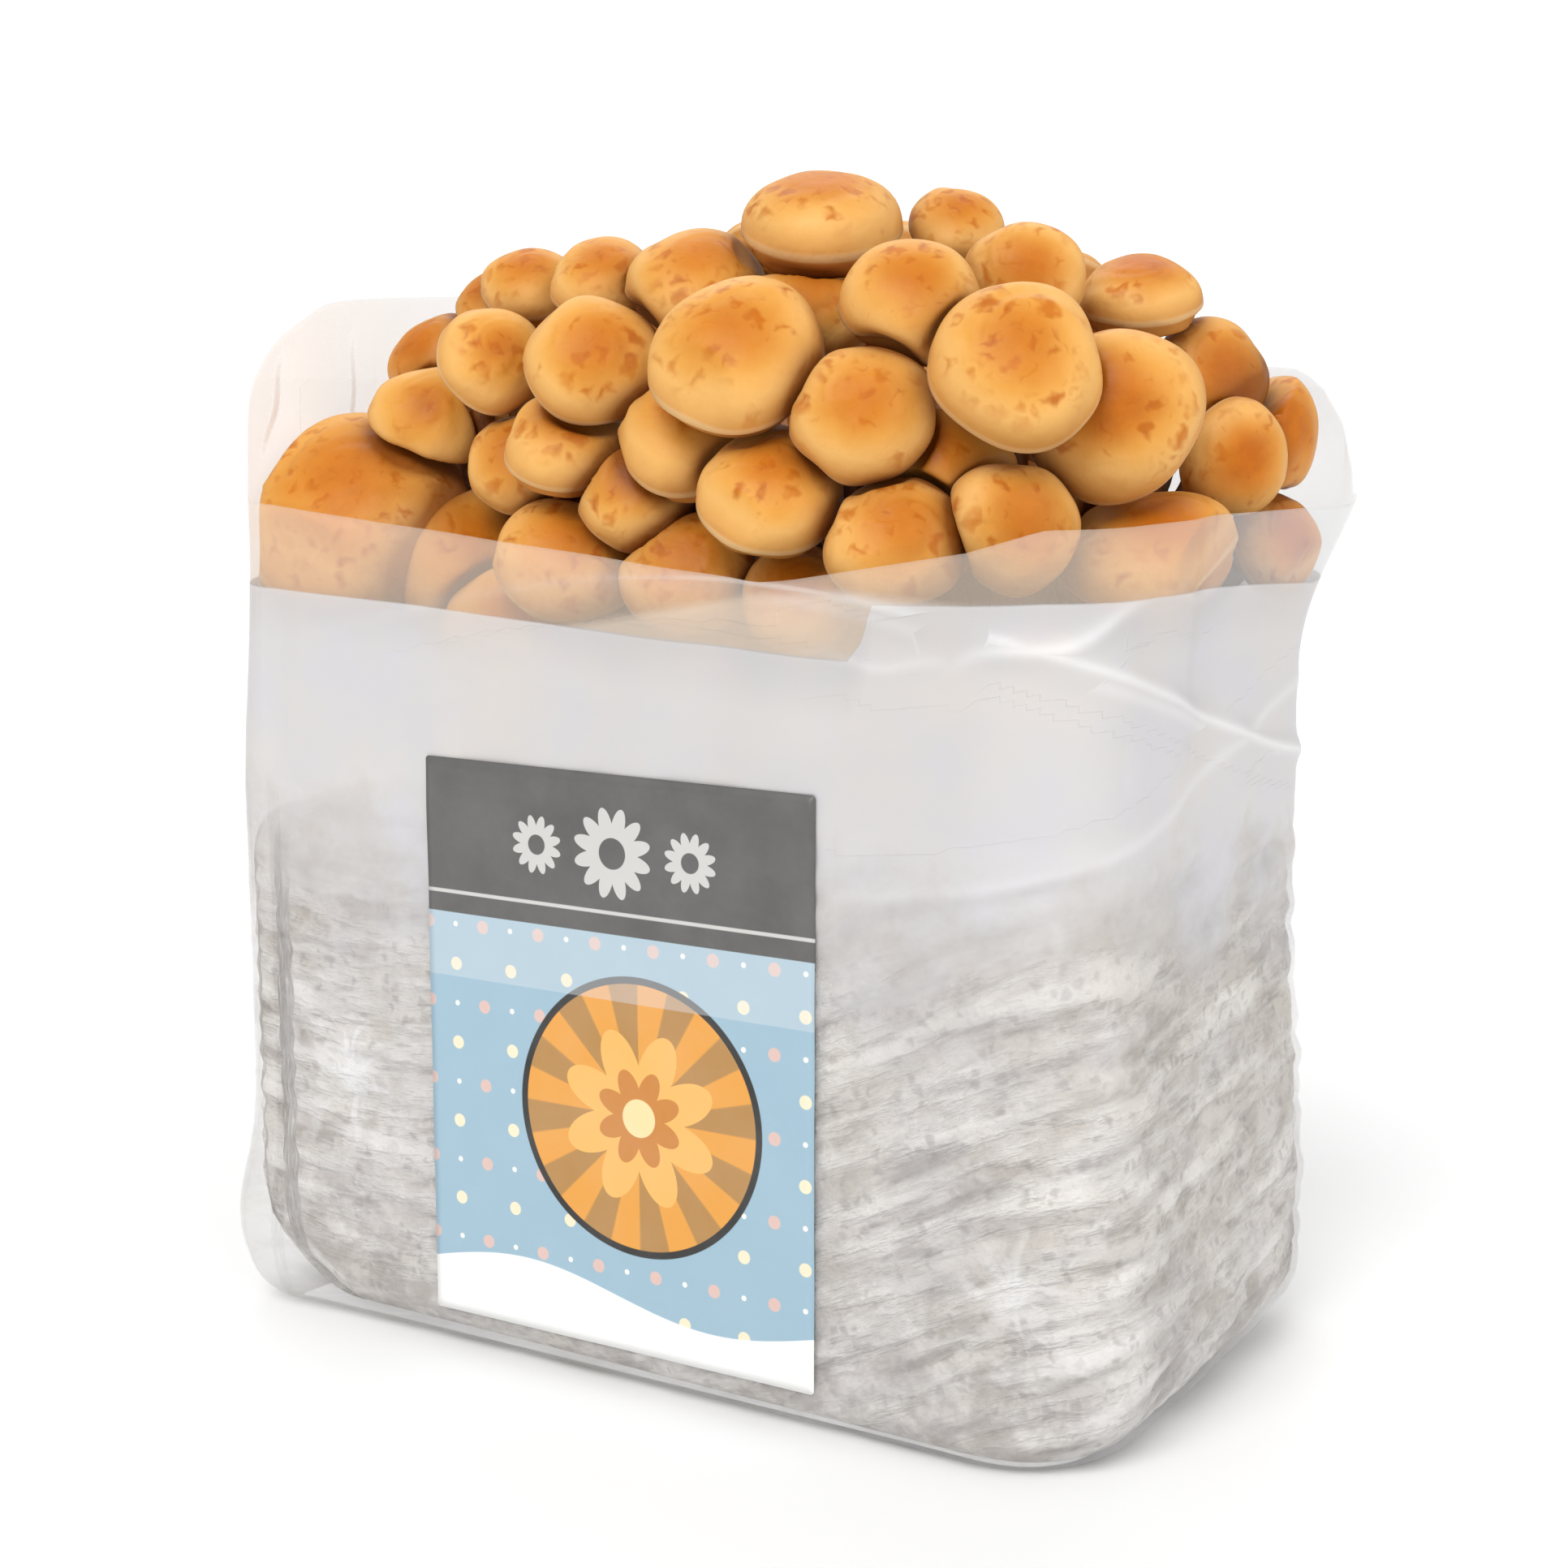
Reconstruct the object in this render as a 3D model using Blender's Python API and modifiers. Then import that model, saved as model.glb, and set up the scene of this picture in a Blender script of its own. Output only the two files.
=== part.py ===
"""A nameko mushroom grow block: a film bag round a block of substrate, its top open under a heap of caps.

The bag stands on the floor with its base's middle at the origin, its front along -Y and its width along X.
"""

import math

import bpy
import numpy as np

MM = 0.001
GAP = 0.3 * MM  # clear space wherever two pieces touch
NAME = "nameko_grow_block"

# The bag, in plan a rectangle with four unlike corner radii
BAG_WIDTH = 215 * MM
BAG_DEPTH = 128.4 * MM
FILM = 0.9 * MM
CORNER_RADII = (26 * MM, 24 * MM, 18 * MM, 10 * MM)  # front right, back right, back left, front left
ARC_STEPS = 4
WIDE_STEPS = 8
DEEP_STEPS = 5
# A place round the bag is a number from 0 to 4: 0 to 1 along the front, then the right side, back and left.
# The cut edge's heights in mm: a wide V at the front and right, and a back that stands up with rounded ends
RIM_FRONT = ((0.0, 191), (0.62, 179.5), (0.66, 178.5), (0.70, 179.5), (1.0, 191), (1.86, 191))
RIM_RIGHT_END = ((1.955, 193), (1.975, 205), (1.995, 215), (2.03, 220), (2.2, 222))
RIM_BACK = ((3.0, 238), (3.32, 237.5), (3.56, 236.6), (3.66, 236), (3.73, 234.8))
RIM_LEFT_END = ((3.78, 232), (3.84, 228), (3.87, 225), (3.9, 221), (3.935, 214), (3.95, 207), (3.965, 192))
RIM = RIM_FRONT + RIM_RIGHT_END + RIM_BACK + RIM_LEFT_END + ((4.0, 191),)
# The rounding along the base in mm, of the film and of the block, which leaves the film's front left foot
# empty
FOOT_PLACES = (0.0, 0.05, 0.12, 0.8, 1.0, 1.5, 2.0, 2.3, 3.0, 3.8, 3.93, 4.0)
FOOT_RADII = (9, 8.5, 8, 8, 7, 10, 19, 14, 12, 11, 10, 9)
BLOCK_FOOT_RADII = (31, 27, 12, 8, 7, 10, 19, 14, 12, 13, 26, 31)
WALL_ROWS = 7
FOOT_ROWS = 3
# The film stands out from its plan where the heap presses it at the back right corner, in the middle of both
# sides where the block sags, and in the empty flap of film at the front left foot
SHOULDER = (17 * MM, 201 * MM, 28 * MM, 40 * MM)  # how far out, at what height, how high and how wide
FLAP = (5 * MM, 21 * MM, 17 * MM, 22 * MM)
RIGHT_SWELL = 7 * MM
RIGHT_SWELL_FROM = 0.7  # of the half width
RIGHT_SWELL_LEFT = 0.25  # the share of it that stays above the sag
SAG_HEIGHTS = (30 * MM, 120 * MM)  # the sag fades between these
RIGHT_SWELL_END = (130 * MM, 170 * MM)
LEFT_SWELL = 2.5 * MM
LEFT_SWELL_FROM = 0.85
LEFT_SWELL_END = (110 * MM, 185 * MM)
SWELL_FOOT = (-12 * MM, 20 * MM)  # both grow from the floor up to here
BOW_POWER = 6  # how square the swells are along their side

# The substrate block inside
BLOCK_CLEAR = 1.2 * MM  # between the block and the film's inner face
BLOCK_TOP = 122 * MM
BLOCK_SHOULDER = 13 * MM
BLOCK_SHOULDER_TURNS = (math.radians(50), math.radians(90))
BLOCK_ROWS = (0.28, 0.44, 0.60, 0.76, 0.90)  # heights of its rows of corners, as shares of its own
LUMP = 1.1 * MM
LUMP_WAVES = (5 * math.pi / 2, 9, 3, 21)  # how fast the lumps follow one another round and up it

# The label on the front face
LABEL_LEFT = -51 * MM
LABEL_WIDTH = 99.5 * MM
LABEL_FOOT = 9.5 * MM
LABEL_HEIGHT = 127 * MM
LABEL_SHEET = 0.4 * MM

# The heap: cap middles lie on a mound over the block
MOUND_BASE = 175 * MM
MOUND = (97 * MM, 52 * MM, 78 * MM)
MOUND_POWERS = (3.2, 2.4, 2.4)
DOME = 0.62  # height of a cap above its margin, in radii
UNDER = 0.45  # depth of its rolled underside
DOME_POWER = 2.15
UNDER_POWER = 2.7
PRESS = 14  # how sharply a cap flattens against its neighbours
LEAST_SHARE = 0.30  # of its radius, which a pressed cap always keeps
NEAR = 1.1  # caps press each other if their middles are nearer than this many times their radii together
HALVINGS = 20  # steps in the search for where a cap meets the film
SIGHT_RANGE = (0.6, 1.35)  # where along a line of sight the mound is looked for, 1 being the upright plane
SIGHT_STEPS = 751

# The caps are set out as seen from one corner of the bag: mm right of the view's own line and above the floor
# on the upright plane through its middle, the radius there, how far the pole leans right and up out of the
# line of sight, and the sink behind the mound
CORNER_VIEW = (math.radians(31.3), 593 * MM, 226 * MM, 1.6 * MM)  # azimuth, distance, height, shift
FRONT_CAPS = (
    (-96, 185.5, 27.5, -0.25, 0.64, -10),
    (-80, 208.5, 13.5, -0.1, 0.5, 7),
    (-78.5, 222, 11.5, -0.6, 0.6, 16),
    (-66, 222, 12.5, 0.25, 0.45, 2),
    (-65, 234, 10, -0.5, 0.7, 24),
    (-57, 238, 11, -0.15, 0.8, 16),
    (-40, 239, 12.5, -0.1, 0.8, 13),
    (-42.5, 221.5, 15.5, 0, 0.45, -1),
    (-19.5, 238, 16, 0, 0.8, 12),
    (-10.5, 222.5, 20, -0.1, 0.6, -6),
    (8.5, 251, 18.5, 0, 0.95, 6),
    (6, 233, 14.5, 0.1, 0.7, 17),
    (-49, 203, 14.5, 0, 0.75, 4),
    (-59.5, 199, 12.5, -0.2, 0.5, 12),
    (-21.5, 204.5, 17, 0, 0.7, 8),
    (-34, 191.5, 13.5, -0.1, 0.5, 6),
    (-3, 192, 17, 0, 0.65, 0),
    (-49.5, 176.5, 16.5, 0, 0.6, 4),
    (-21, 174.5, 16.5, -0.1, 0.5, 8),
    (-73.5, 177, 20, 0.2, 0.5, 14),
    (3.5, 168, 13.5, 0, 0.5, 7),
    (-60.5, 160.5, 17, 0, 0.5, 8),
    (38.5, 251, 11, 0.1, 0.8, 12),
    (54.5, 240.5, 13, 0.1, 0.35, 9),
    (80, 235.5, 14, 0, 0.93, 6),
    (29, 234.5, 16, 0, 0.6, 2),
    (52.5, 220.5, 20, 0.1, 0.5, -6),
    (96, 217.5, 14, 0.4, 0.3, 11),
    (74.5, 210, 20, 0.05, 0.25, 3),
    (17.5, 210, 16.5, 0, 0.35, 0),
    (102, 200, 13, 0.4, 0, 0),
    (106, 206, 17, 0.7, 0.2, 16),
    (35.5, 198, 18, 0, 0.5, 15),
    (25.5, 181, 16.5, 0.1, 0.45, 1),
    (52, 184.5, 15.5, 0.35, 0.15, 3),
    (85.5, 176.5, 21, 0, 0.8, 2),
    (112, 180.5, 12, 0.6, 0.3, 14),
)
# The far side, as seen from the opposite corner
BACK_CAPS = (
    (61, 225, 16, 0.2, 0.6, 5),
    (33, 234, 17, 0.1, 0.6, 5),
    (2, 244, 13, 0, 0.6, 8),
    (-29, 238, 18, 0, 0.6, 4),
    (-62, 231, 18, -0.1, 0.6, 4),
    (-80, 207, 15, -0.1, 0.5, 8),
    (84, 203, 16, 0.3, 0.5, 5),
    (49, 204, 19, 0.1, 0.45, 1),
    (13, 213, 20, 0, 0.45, 0),
    (-24, 208, 20, 0, 0.45, 1),
    (-60, 203, 20, -0.1, 0.45, 1),
    (66, 179, 18, 0.1, 0.4, 4),
    (-5, 183, 19, 0, 0.4, 4),
)
FULLNESS = 1.05  # how much larger the caps are than they show between their neighbours
CAP_GRID = (10, 6)  # corners round, steps from pole to pole
SMALL_CAP = 12.5 * MM
SMALL_CAP_GRID = (8, 5)

# Stems: each cluster is a trunk of stems grown together, from which single stems part to their caps
STEM_RADIUS = 2.9 * MM
STEM_SIDES = 5
STEM_TWIST = math.radians(31)  # from one stem's corners to the next one's
STEM_LEAD = 9 * MM  # how far a stem follows its cap's axis before it bends
CLUSTERS = 5
CLUSTER_PITCH = 35 * MM
TRUNK_HALF = (13 * MM, 21 * MM)
TRUNK_TOP = 160 * MM
TRUNK_CROWN = 2.5 * MM
TRUNK_SIDES = 10
TRUNK_ROWS = ((0.0, 1.1), (0.25, 1.0), (0.8, 0.95), (1.0, 0.7))  # share of its height, share of its width
TRUNK_KEEP_OFF = 1.15  # the radius about the trunk's spine that caps keep off, in half widths
# How far a stem's root stands out from the trunk's middle, as shares of how far its neck does
ROOT_SHARES = np.array([0.18, 0.3, 0])
ROOT_OUT = 3 * MM  # the most that it stands past the trunk's spine
ROOT_RANGE = (132 * MM, 156 * MM)
NECK_RANGE = (150 * MM, 245 * MM)


def smooth_step(value, low, high):
    """0 below low, 1 above high, and an even curve between."""
    t = np.clip((value - low) / (high - low), 0, 1)
    return t * t * (3 - 2 * t)


def outline():
    """The bag's plan: points, outward normals and places, going round from the front's left end."""
    half = np.array([BAG_WIDTH / 2, BAG_DEPTH / 2])
    points, normals, places = [], [], []
    for k, (sx, sy) in enumerate(((1, -1), (1, 1), (-1, 1), (-1, -1))):
        radius = CORNER_RADII[k]
        before = CORNER_RADII[k - 1]
        steps = WIDE_STEPS if k % 2 == 0 else DEEP_STEPS
        side, other = (BAG_WIDTH, BAG_DEPTH) if k % 2 == 0 else (BAG_DEPTH, BAG_WIDTH)
        turn = math.radians(-90 + 90 * k)
        out = np.array([math.cos(turn), math.sin(turn)])
        along = np.array([-out[1], out[0]])
        middle = out * abs(out @ half)
        for i in range(1, steps):
            share = i / steps
            reach = (before - side / 2) * (1 - share) + (side / 2 - radius) * share
            points.append(middle + along * reach)
            normals.append(out)
            places.append(k + 0.5 + reach / side)
        centre = np.array([sx, sy]) * (half - radius)
        for i in range(ARC_STEPS + 1):
            share = i / ARC_STEPS
            angle = turn + share * math.pi / 2
            normal = np.array([math.cos(angle), math.sin(angle)])
            points.append(centre + radius * normal)
            normals.append(normal)
            places.append(k + 1 - radius / side * (1 - share) + radius / other * share)
    return np.array(points), np.array(normals), np.array(places) % 4


def corner_swell(x, y, z, corner, size):
    """A rounded swelling about a corner of the plan, of a given amount, height, rise and reach."""
    amount, height, rise, reach = size
    away = (x - corner[0]) ** 2 + (y - corner[1]) ** 2
    return amount * np.exp(-away / reach**2 - ((z - height) / rise) ** 2)


def swell(x, y, z, flap=True):
    """How far the film stands out from the plain outline at a place."""
    half_width = BAG_WIDTH / 2
    half_depth = BAG_DEPTH / 2
    shoulder = corner_swell(x, y, z, (half_width, half_depth), SHOULDER)
    corner = corner_swell(x, y, z, (-half_width, -half_depth), FLAP) if flap else 0.0
    bow = np.clip(1 - (y / half_depth) ** BOW_POWER, 0, 1)
    sag = 1 - (1 - RIGHT_SWELL_LEFT) * smooth_step(z, *SAG_HEIGHTS)
    right = bow * sag * smooth_step(x, RIGHT_SWELL_FROM * half_width, half_width)
    right *= 1 - smooth_step(z, *RIGHT_SWELL_END)
    left = smooth_step(-x, LEFT_SWELL_FROM * half_width, half_width)
    left *= 1 - smooth_step(z, *LEFT_SWELL_END)
    return shoulder + corner + smooth_step(z, *SWELL_FOOT) * (RIGHT_SWELL * right + LEFT_SWELL * left)


def plan_distance(x, y):
    """Distance outside the bag's plain outline, negative inside."""
    front_right, back_right, back_left, front_left = CORNER_RADII
    right = np.where(y < 0, front_right, back_right)
    left = np.where(y < 0, front_left, back_left)
    radius = np.where(x > 0, right, left)
    qx = np.abs(x) - BAG_WIDTH / 2 + radius
    qy = np.abs(y) - BAG_DEPTH / 2 + radius
    return np.hypot(np.maximum(qx, 0), np.maximum(qy, 0)) + np.minimum(np.maximum(qx, qy), 0) - radius


def foot_inset(height, radius):
    """How far a wall rounded off at its foot stands in at a height."""
    drop = np.clip(radius - height, 0, radius)
    return radius - np.sqrt(radius**2 - drop**2)


def mesh_object(name, vertices, faces, slot):
    mesh = bpy.data.meshes.new(name)
    mesh.from_pydata([tuple(v) for v in vertices], [], faces)
    mesh.materials.append(material(slot))
    made = bpy.data.objects.new(name, mesh)
    collection.objects.link(made)
    return made


def material(slot):
    """The Principled material of one slot."""
    if slot in bpy.data.materials:
        return bpy.data.materials[slot]
    colour, roughness, alpha = SLOTS[slot]
    made = bpy.data.materials.new(slot)
    made.use_nodes = True
    shader = made.node_tree.nodes["Principled BSDF"]
    shader.inputs["Base Color"].default_value = (*colour, 1)
    shader.inputs["Roughness"].default_value = roughness
    shader.inputs["Alpha"].default_value = alpha
    return made


SLOTS = {
    "cap_skin": ((0.66, 0.27, 0.05), 0.35, 1.0),
    "stem_flesh": ((0.62, 0.36, 0.13), 0.6, 1.0),
    "bag_film": ((0.86, 0.86, 0.88), 0.3, 0.5),
    "mycelium": ((0.70, 0.67, 0.62), 0.9, 1.0),
    "label_print": ((0.40, 0.56, 0.66), 0.5, 1.0),
}


def ring_faces(rows, around):
    """Quads between rows of points that each go once round."""
    faces = []
    for row in range(rows - 1):
        for i in range(around):
            nxt = (i + 1) % around
            low, high = row * around, (row + 1) * around
            faces.append((low + i, low + nxt, high + nxt, high + i))
    return faces


def wall_rows(plan, foot_radii, base, tops, inset):
    """Rows of a wall from its foot up: rounded at the foot, then even steps to the height in tops."""
    points, normals, _ = plan
    rows = []
    for i in range(FOOT_ROWS + WALL_ROWS):
        if i < FOOT_ROWS:
            angle = math.pi / 2 * i / FOOT_ROWS
            rise = foot_radii * (1 - math.cos(angle))
        else:
            share = (i - FOOT_ROWS) / (WALL_ROWS - 1)
            rise = foot_radii * (1 - share) + (tops - base) * share
        out = swell(points[:, 0], points[:, 1], base + rise) - foot_inset(rise, foot_radii) - inset
        flat = points + normals * out[:, None]
        rows.append(np.column_stack([flat, base + rise]))
    return rows


def build_bag():
    """The film: one open sheet with a rounded foot and a flat base, thickened inwards."""
    plan = outline()
    places = plan[2]
    tops = np.interp(places, *zip(*RIM)) * MM
    foot_radii = np.interp(places, FOOT_PLACES, FOOT_RADII) * MM
    rows = wall_rows(plan, foot_radii, 0.0, tops, 0.0)
    around = len(places)
    faces = ring_faces(len(rows), around)
    faces.append(tuple(reversed(range(around))))
    bag = mesh_object("grow_bag", np.vstack(rows), faces, "bag_film")
    wall = bag.modifiers.new("film", "SOLIDIFY")
    wall.thickness = FILM
    wall.offset = -1
    wall.use_even_offset = True


def build_block():
    """The substrate: the bag's own form drawn in, lumpy on its faces and rounded at the top."""
    plan = outline()
    points, normals, places = plan
    base = FILM + BLOCK_CLEAR
    foot_radii = np.interp(places, FOOT_PLACES, BLOCK_FOOT_RADII) * MM
    around = len(places)
    inset = FILM + BLOCK_CLEAR + LUMP
    round_first, up_first, round_second, up_second = LUMP_WAVES
    rows = []
    for i in range(FOOT_ROWS):
        angle = math.pi / 2 * i / FOOT_ROWS
        rise = foot_radii * (1 - math.cos(angle))
        out = swell(points[:, 0], points[:, 1], base + rise, False) - foot_inset(rise, foot_radii) - inset
        rows.append(np.column_stack([points + normals * out[:, None], base + rise]))
    for share in BLOCK_ROWS:
        rise = np.full(around, share * (BLOCK_TOP - base))
        out = swell(points[:, 0], points[:, 1], base + rise, False) - inset
        lump = np.sin(round_first * places + up_first * share)
        lump *= np.cos(round_second * places + up_second * share)
        rows.append(np.column_stack([points + normals * (out + LUMP * lump)[:, None], base + rise]))
    for angle in BLOCK_SHOULDER_TURNS:
        drop = BLOCK_SHOULDER * (1 - math.sin(angle))
        back = BLOCK_SHOULDER * (1 - math.cos(angle))
        flat = points - normals * (inset + back)
        rows.append(np.column_stack([flat, np.full(around, BLOCK_TOP - drop)]))
    faces = ring_faces(len(rows), around)
    faces.append(tuple(reversed(range(around))))
    last = (len(rows) - 1) * around
    faces.append(tuple(range(last, last + around)))
    mesh_object("substrate_block", np.vstack(rows), faces, "mycelium")


def build_label():
    """A thin sheet flat on the bag's front."""
    bpy.ops.mesh.primitive_cube_add(size=1)
    label = bpy.context.object
    label.name = "label"
    label.data.name = "label"
    label.scale = (LABEL_WIDTH, LABEL_SHEET, LABEL_HEIGHT)
    away = BAG_DEPTH / 2 + GAP + LABEL_SHEET / 2
    label.location = (LABEL_LEFT + LABEL_WIDTH / 2, -away, LABEL_FOOT + LABEL_HEIGHT / 2)
    label.data.materials.append(material("label_print"))
    for owner in list(label.users_collection):
        owner.objects.unlink(label)
    collection.objects.link(label)


def view_frame(azimuth):
    """Right, back (towards the viewer) and up for a look from an azimuth."""
    right = np.array([math.cos(azimuth), math.sin(azimuth), 0.0])
    back = np.array([math.sin(azimuth), -math.cos(azimuth), 0.0])
    return right, back, np.array([0.0, 0.0, 1.0])


def mound_depth(points):
    """Below 0 inside the mound of cap middles and above 0 outside it."""
    x, y, z = points.T
    high = np.maximum(z - MOUND_BASE, 0)
    parts = [np.abs(v / size) ** power for v, size, power in zip((x, y, high), MOUND, MOUND_POWERS)]
    return sum(parts) - 1


def lay_out(table, opposite):
    """Middle, axis, radius and sink of each cap in a table, seen from the corner view or from opposite it."""
    azimuth, distance, height, shift = CORNER_VIEW
    side = math.pi if opposite else 0.0
    right, back, up = view_frame(azimuth + side)
    eye = back * distance + right * shift + up * height
    reach = np.linspace(*SIGHT_RANGE, SIGHT_STEPS)
    caps = []
    for across, rise, radius, lean_right, lean_up, sink in table:
        ray = right * across * MM - back * distance + up * (rise * MM - height)
        path = eye + reach[:, None] * ray
        depth = mound_depth(path)
        inside = np.flatnonzero(depth < 0)
        first = inside[0] if len(inside) else int(np.argmin(depth))
        length = np.linalg.norm(ray)
        share = reach[first] + sink * MM / length
        middle = eye + share * ray
        sight = -ray / length
        level = np.cross(up, sight)
        level /= np.linalg.norm(level)
        above = np.cross(sight, level)
        facing = math.sqrt(max(1 - lean_right**2 - lean_up**2, 0))
        axis = level * lean_right + above * lean_up + sight * facing
        caps.append((middle, axis / np.linalg.norm(axis), FULLNESS * radius * MM * share, sink))
    return caps


def cap_gauge(directions, axis, radius):
    """1 over the free cap's reach in each direction: a dome over a shallower rolled underside."""
    rise = directions @ axis
    flat = np.sqrt(np.maximum(1 - rise**2, 0)) / radius
    high = np.abs(rise) / radius
    dome = (flat**DOME_POWER + (high / DOME) ** DOME_POWER) ** (1 / DOME_POWER)
    under = (flat**UNDER_POWER + (high / UNDER) ** UNDER_POWER) ** (1 / UNDER_POWER)
    return np.where(rise > 0, dome, under)


def press_planes(caps):
    """For each cap the planes that it is pressed flat against, as directions and distances."""
    planes = [[] for _ in caps]
    for i, (middle, axis, radius, sink) in enumerate(caps):
        for j, (other, other_axis, other_radius, other_sink) in enumerate(caps):
            apart = other - middle
            distance = np.linalg.norm(apart)
            if j == i or distance > NEAR * (radius + other_radius):
                continue
            towards = apart / distance
            own = 1 / cap_gauge(towards[None], axis, radius)[0]
            theirs = 1 / cap_gauge(-towards[None], other_axis, other_radius)[0]
            spare = distance - own - theirs
            if spare >= 0:
                reach = own + spare / 2
            elif (sink, i) < (other_sink, j):
                reach = min(own, distance - LEAST_SHARE * theirs)
                reach = max(reach, LEAST_SHARE * own)
            else:
                reach = distance - max(min(theirs, distance - LEAST_SHARE * own), LEAST_SHARE * theirs)
            planes[i].append((towards, reach - GAP / 2))
    return planes


def cap_reach(directions, cap, planes):
    """How far the pressed cap goes in each direction from its middle, inside the film."""
    middle, axis, radius, _ = cap
    total = cap_gauge(directions, axis, radius) ** PRESS
    for towards, distance in planes:
        total += np.maximum(directions @ towards, 0) ** PRESS / distance**PRESS
    reach = total ** (-1 / PRESS)
    low, high = np.zeros(len(reach)), reach.copy()
    for _ in range(HALVINGS):
        half = (low + high) / 2
        x, y, z = (middle + directions * half[:, None]).T
        free = plan_distance(x, y) < swell(x, y, z) - FILM - 2 * GAP
        low = np.where(free, half, low)
        high = np.where(free, high, half)
    return np.where(high < reach, low, reach)


def axis_frame(axis):
    """Two unit vectors square to an axis."""
    first = np.cross(axis, (0.0, 0.0, 1.0) if abs(axis[2]) < 0.9 else (1.0, 0.0, 0.0))
    first /= np.linalg.norm(first)
    return first, np.cross(axis, first)


def cap_directions(cap):
    """Directions of a cap's corners about its middle: rows from pole to pole, then the two poles."""
    _, axis, radius, _ = cap
    around, rise = SMALL_CAP_GRID if radius < SMALL_CAP else CAP_GRID
    first, second = axis_frame(axis)
    turns = np.arange(around) * 2 * math.pi / around
    tilts = np.arange(1, rise) * math.pi / rise
    tilt, turn = np.meshgrid(tilts, turns, indexing="ij")
    flat = np.cos(turn)[..., None] * first + np.sin(turn)[..., None] * second
    rows = np.cos(tilt)[..., None] * axis + np.sin(tilt)[..., None] * flat
    return np.vstack([rows.reshape(-1, 3), axis, -axis]), around, rise


def build_cap(name, cap, planes):
    """One cap as a closed globe of directions about its middle."""
    directions, around, rise = cap_directions(cap)
    vertices = cap[0] + directions * cap_reach(directions, cap, planes)[:, None]
    top = len(vertices) - 2
    faces = [tuple(reversed(face)) for face in ring_faces(rise - 1, around)]
    last = (rise - 2) * around
    for i in range(around):
        nxt = (i + 1) % around
        faces.append((top, i, nxt))
        faces.append((top + 1, last + nxt, last + i))
    mesh_object(name, vertices, faces, "cap_skin")


def trunk_middle(k):
    """The middle of a cluster's foot on the block."""
    return np.array([(k - (CLUSTERS - 1) / 2) * CLUSTER_PITCH, 0.0, BLOCK_TOP + GAP])


def stem_route(cap, planes):
    """The cluster and the three points of a cap's stem: neck, bend and root inside the trunk."""
    middle, axis, _, _ = cap
    directions, _, _ = cap_directions(cap)
    depth = np.max(cap_reach(directions, cap, planes) * (directions @ -axis))
    neck = middle - axis * (depth + GAP)
    k = int(np.clip(round(neck[0] / CLUSTER_PITCH + (CLUSTERS - 1) / 2), 0, CLUSTERS - 1))
    bend = neck - axis * STEM_LEAD
    inner = TRUNK_HALF[1] - TRUNK_HALF[0]
    foot = trunk_middle(k)
    root = foot + ROOT_SHARES * (neck - foot)
    root[1] = np.clip(root[1], -inner - ROOT_OUT, inner + ROOT_OUT)
    root[2] = np.interp(neck[2], NECK_RANGE, ROOT_RANGE)
    return k, (neck, bend, root)


def nearest_on_line(start, end, point):
    """The point of a straight line between two ends that is nearest to a point."""
    along = end - start
    share = np.clip((point - start) @ along / (along @ along), 0, 1)
    return start + share * along


def press_stems(caps, planes, routes):
    """Planes that keep each cap clear of the other caps' stems and of the trunks."""
    inner = TRUNK_HALF[1] - TRUNK_HALF[0]
    for i, (middle, _, radius, _) in enumerate(caps):
        near = []
        for j, (_, (neck, bend, root)) in enumerate(routes):
            if j != i:
                near.append((nearest_on_line(neck, bend, middle), STEM_RADIUS))
                near.append((nearest_on_line(bend, root, middle), STEM_RADIUS))
        for k in range(CLUSTERS):
            foot = trunk_middle(k)
            along = np.clip(middle[1], -inner, inner)
            up = np.clip(middle[2], foot[2], TRUNK_TOP)
            near.append((np.array([foot[0], along, up]), TRUNK_KEEP_OFF * TRUNK_HALF[0]))
        for point, thick in near:
            apart = point - middle
            distance = np.linalg.norm(apart)
            if distance < radius + thick:
                planes[i].append((apart / distance, max(distance - thick - GAP, LEAST_SHARE * DOME * radius)))


def tube(points, headings, radius, twist):
    """A tube with one ring of corners at each point, square to its heading there, turned by a twist."""
    rings = []
    turns = np.arange(STEM_SIDES) * 2 * math.pi / STEM_SIDES + twist
    for point, heading in zip(points, headings):
        first, second = axis_frame(heading / np.linalg.norm(heading))
        rings.append(point + radius * (np.cos(turns)[:, None] * first + np.sin(turns)[:, None] * second))
    faces = ring_faces(len(points), STEM_SIDES)
    faces.append(tuple(reversed(range(STEM_SIDES))))
    last = (len(points) - 1) * STEM_SIDES
    faces.append(tuple(range(last, last + STEM_SIDES)))
    return np.vstack(rings), faces


def build_trunk(name, centre):
    """The stems grown together at a cluster's foot: an upright oval column with a flat bottom."""
    turns = np.arange(TRUNK_SIDES) * 2 * math.pi / TRUNK_SIDES
    rows = []
    oval = np.column_stack([np.cos(turns) * TRUNK_HALF[0], np.sin(turns) * TRUNK_HALF[1], turns * 0])
    for rise, wide in TRUNK_ROWS:
        rows.append(oval * wide + centre + (0.0, 0.0, rise * (TRUNK_TOP - centre[2])))
    faces = ring_faces(len(rows), TRUNK_SIDES)
    faces.append(tuple(reversed(range(TRUNK_SIDES))))
    last = (len(rows) - 1) * TRUNK_SIDES
    crown = np.array([[centre[0], centre[1], TRUNK_TOP + TRUNK_CROWN]])
    for i in range(TRUNK_SIDES):
        faces.append((last + i, last + (i + 1) % TRUNK_SIDES, last + TRUNK_SIDES))
    return mesh_object(name, np.vstack([*rows, crown]), faces, "stem_flesh")


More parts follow.
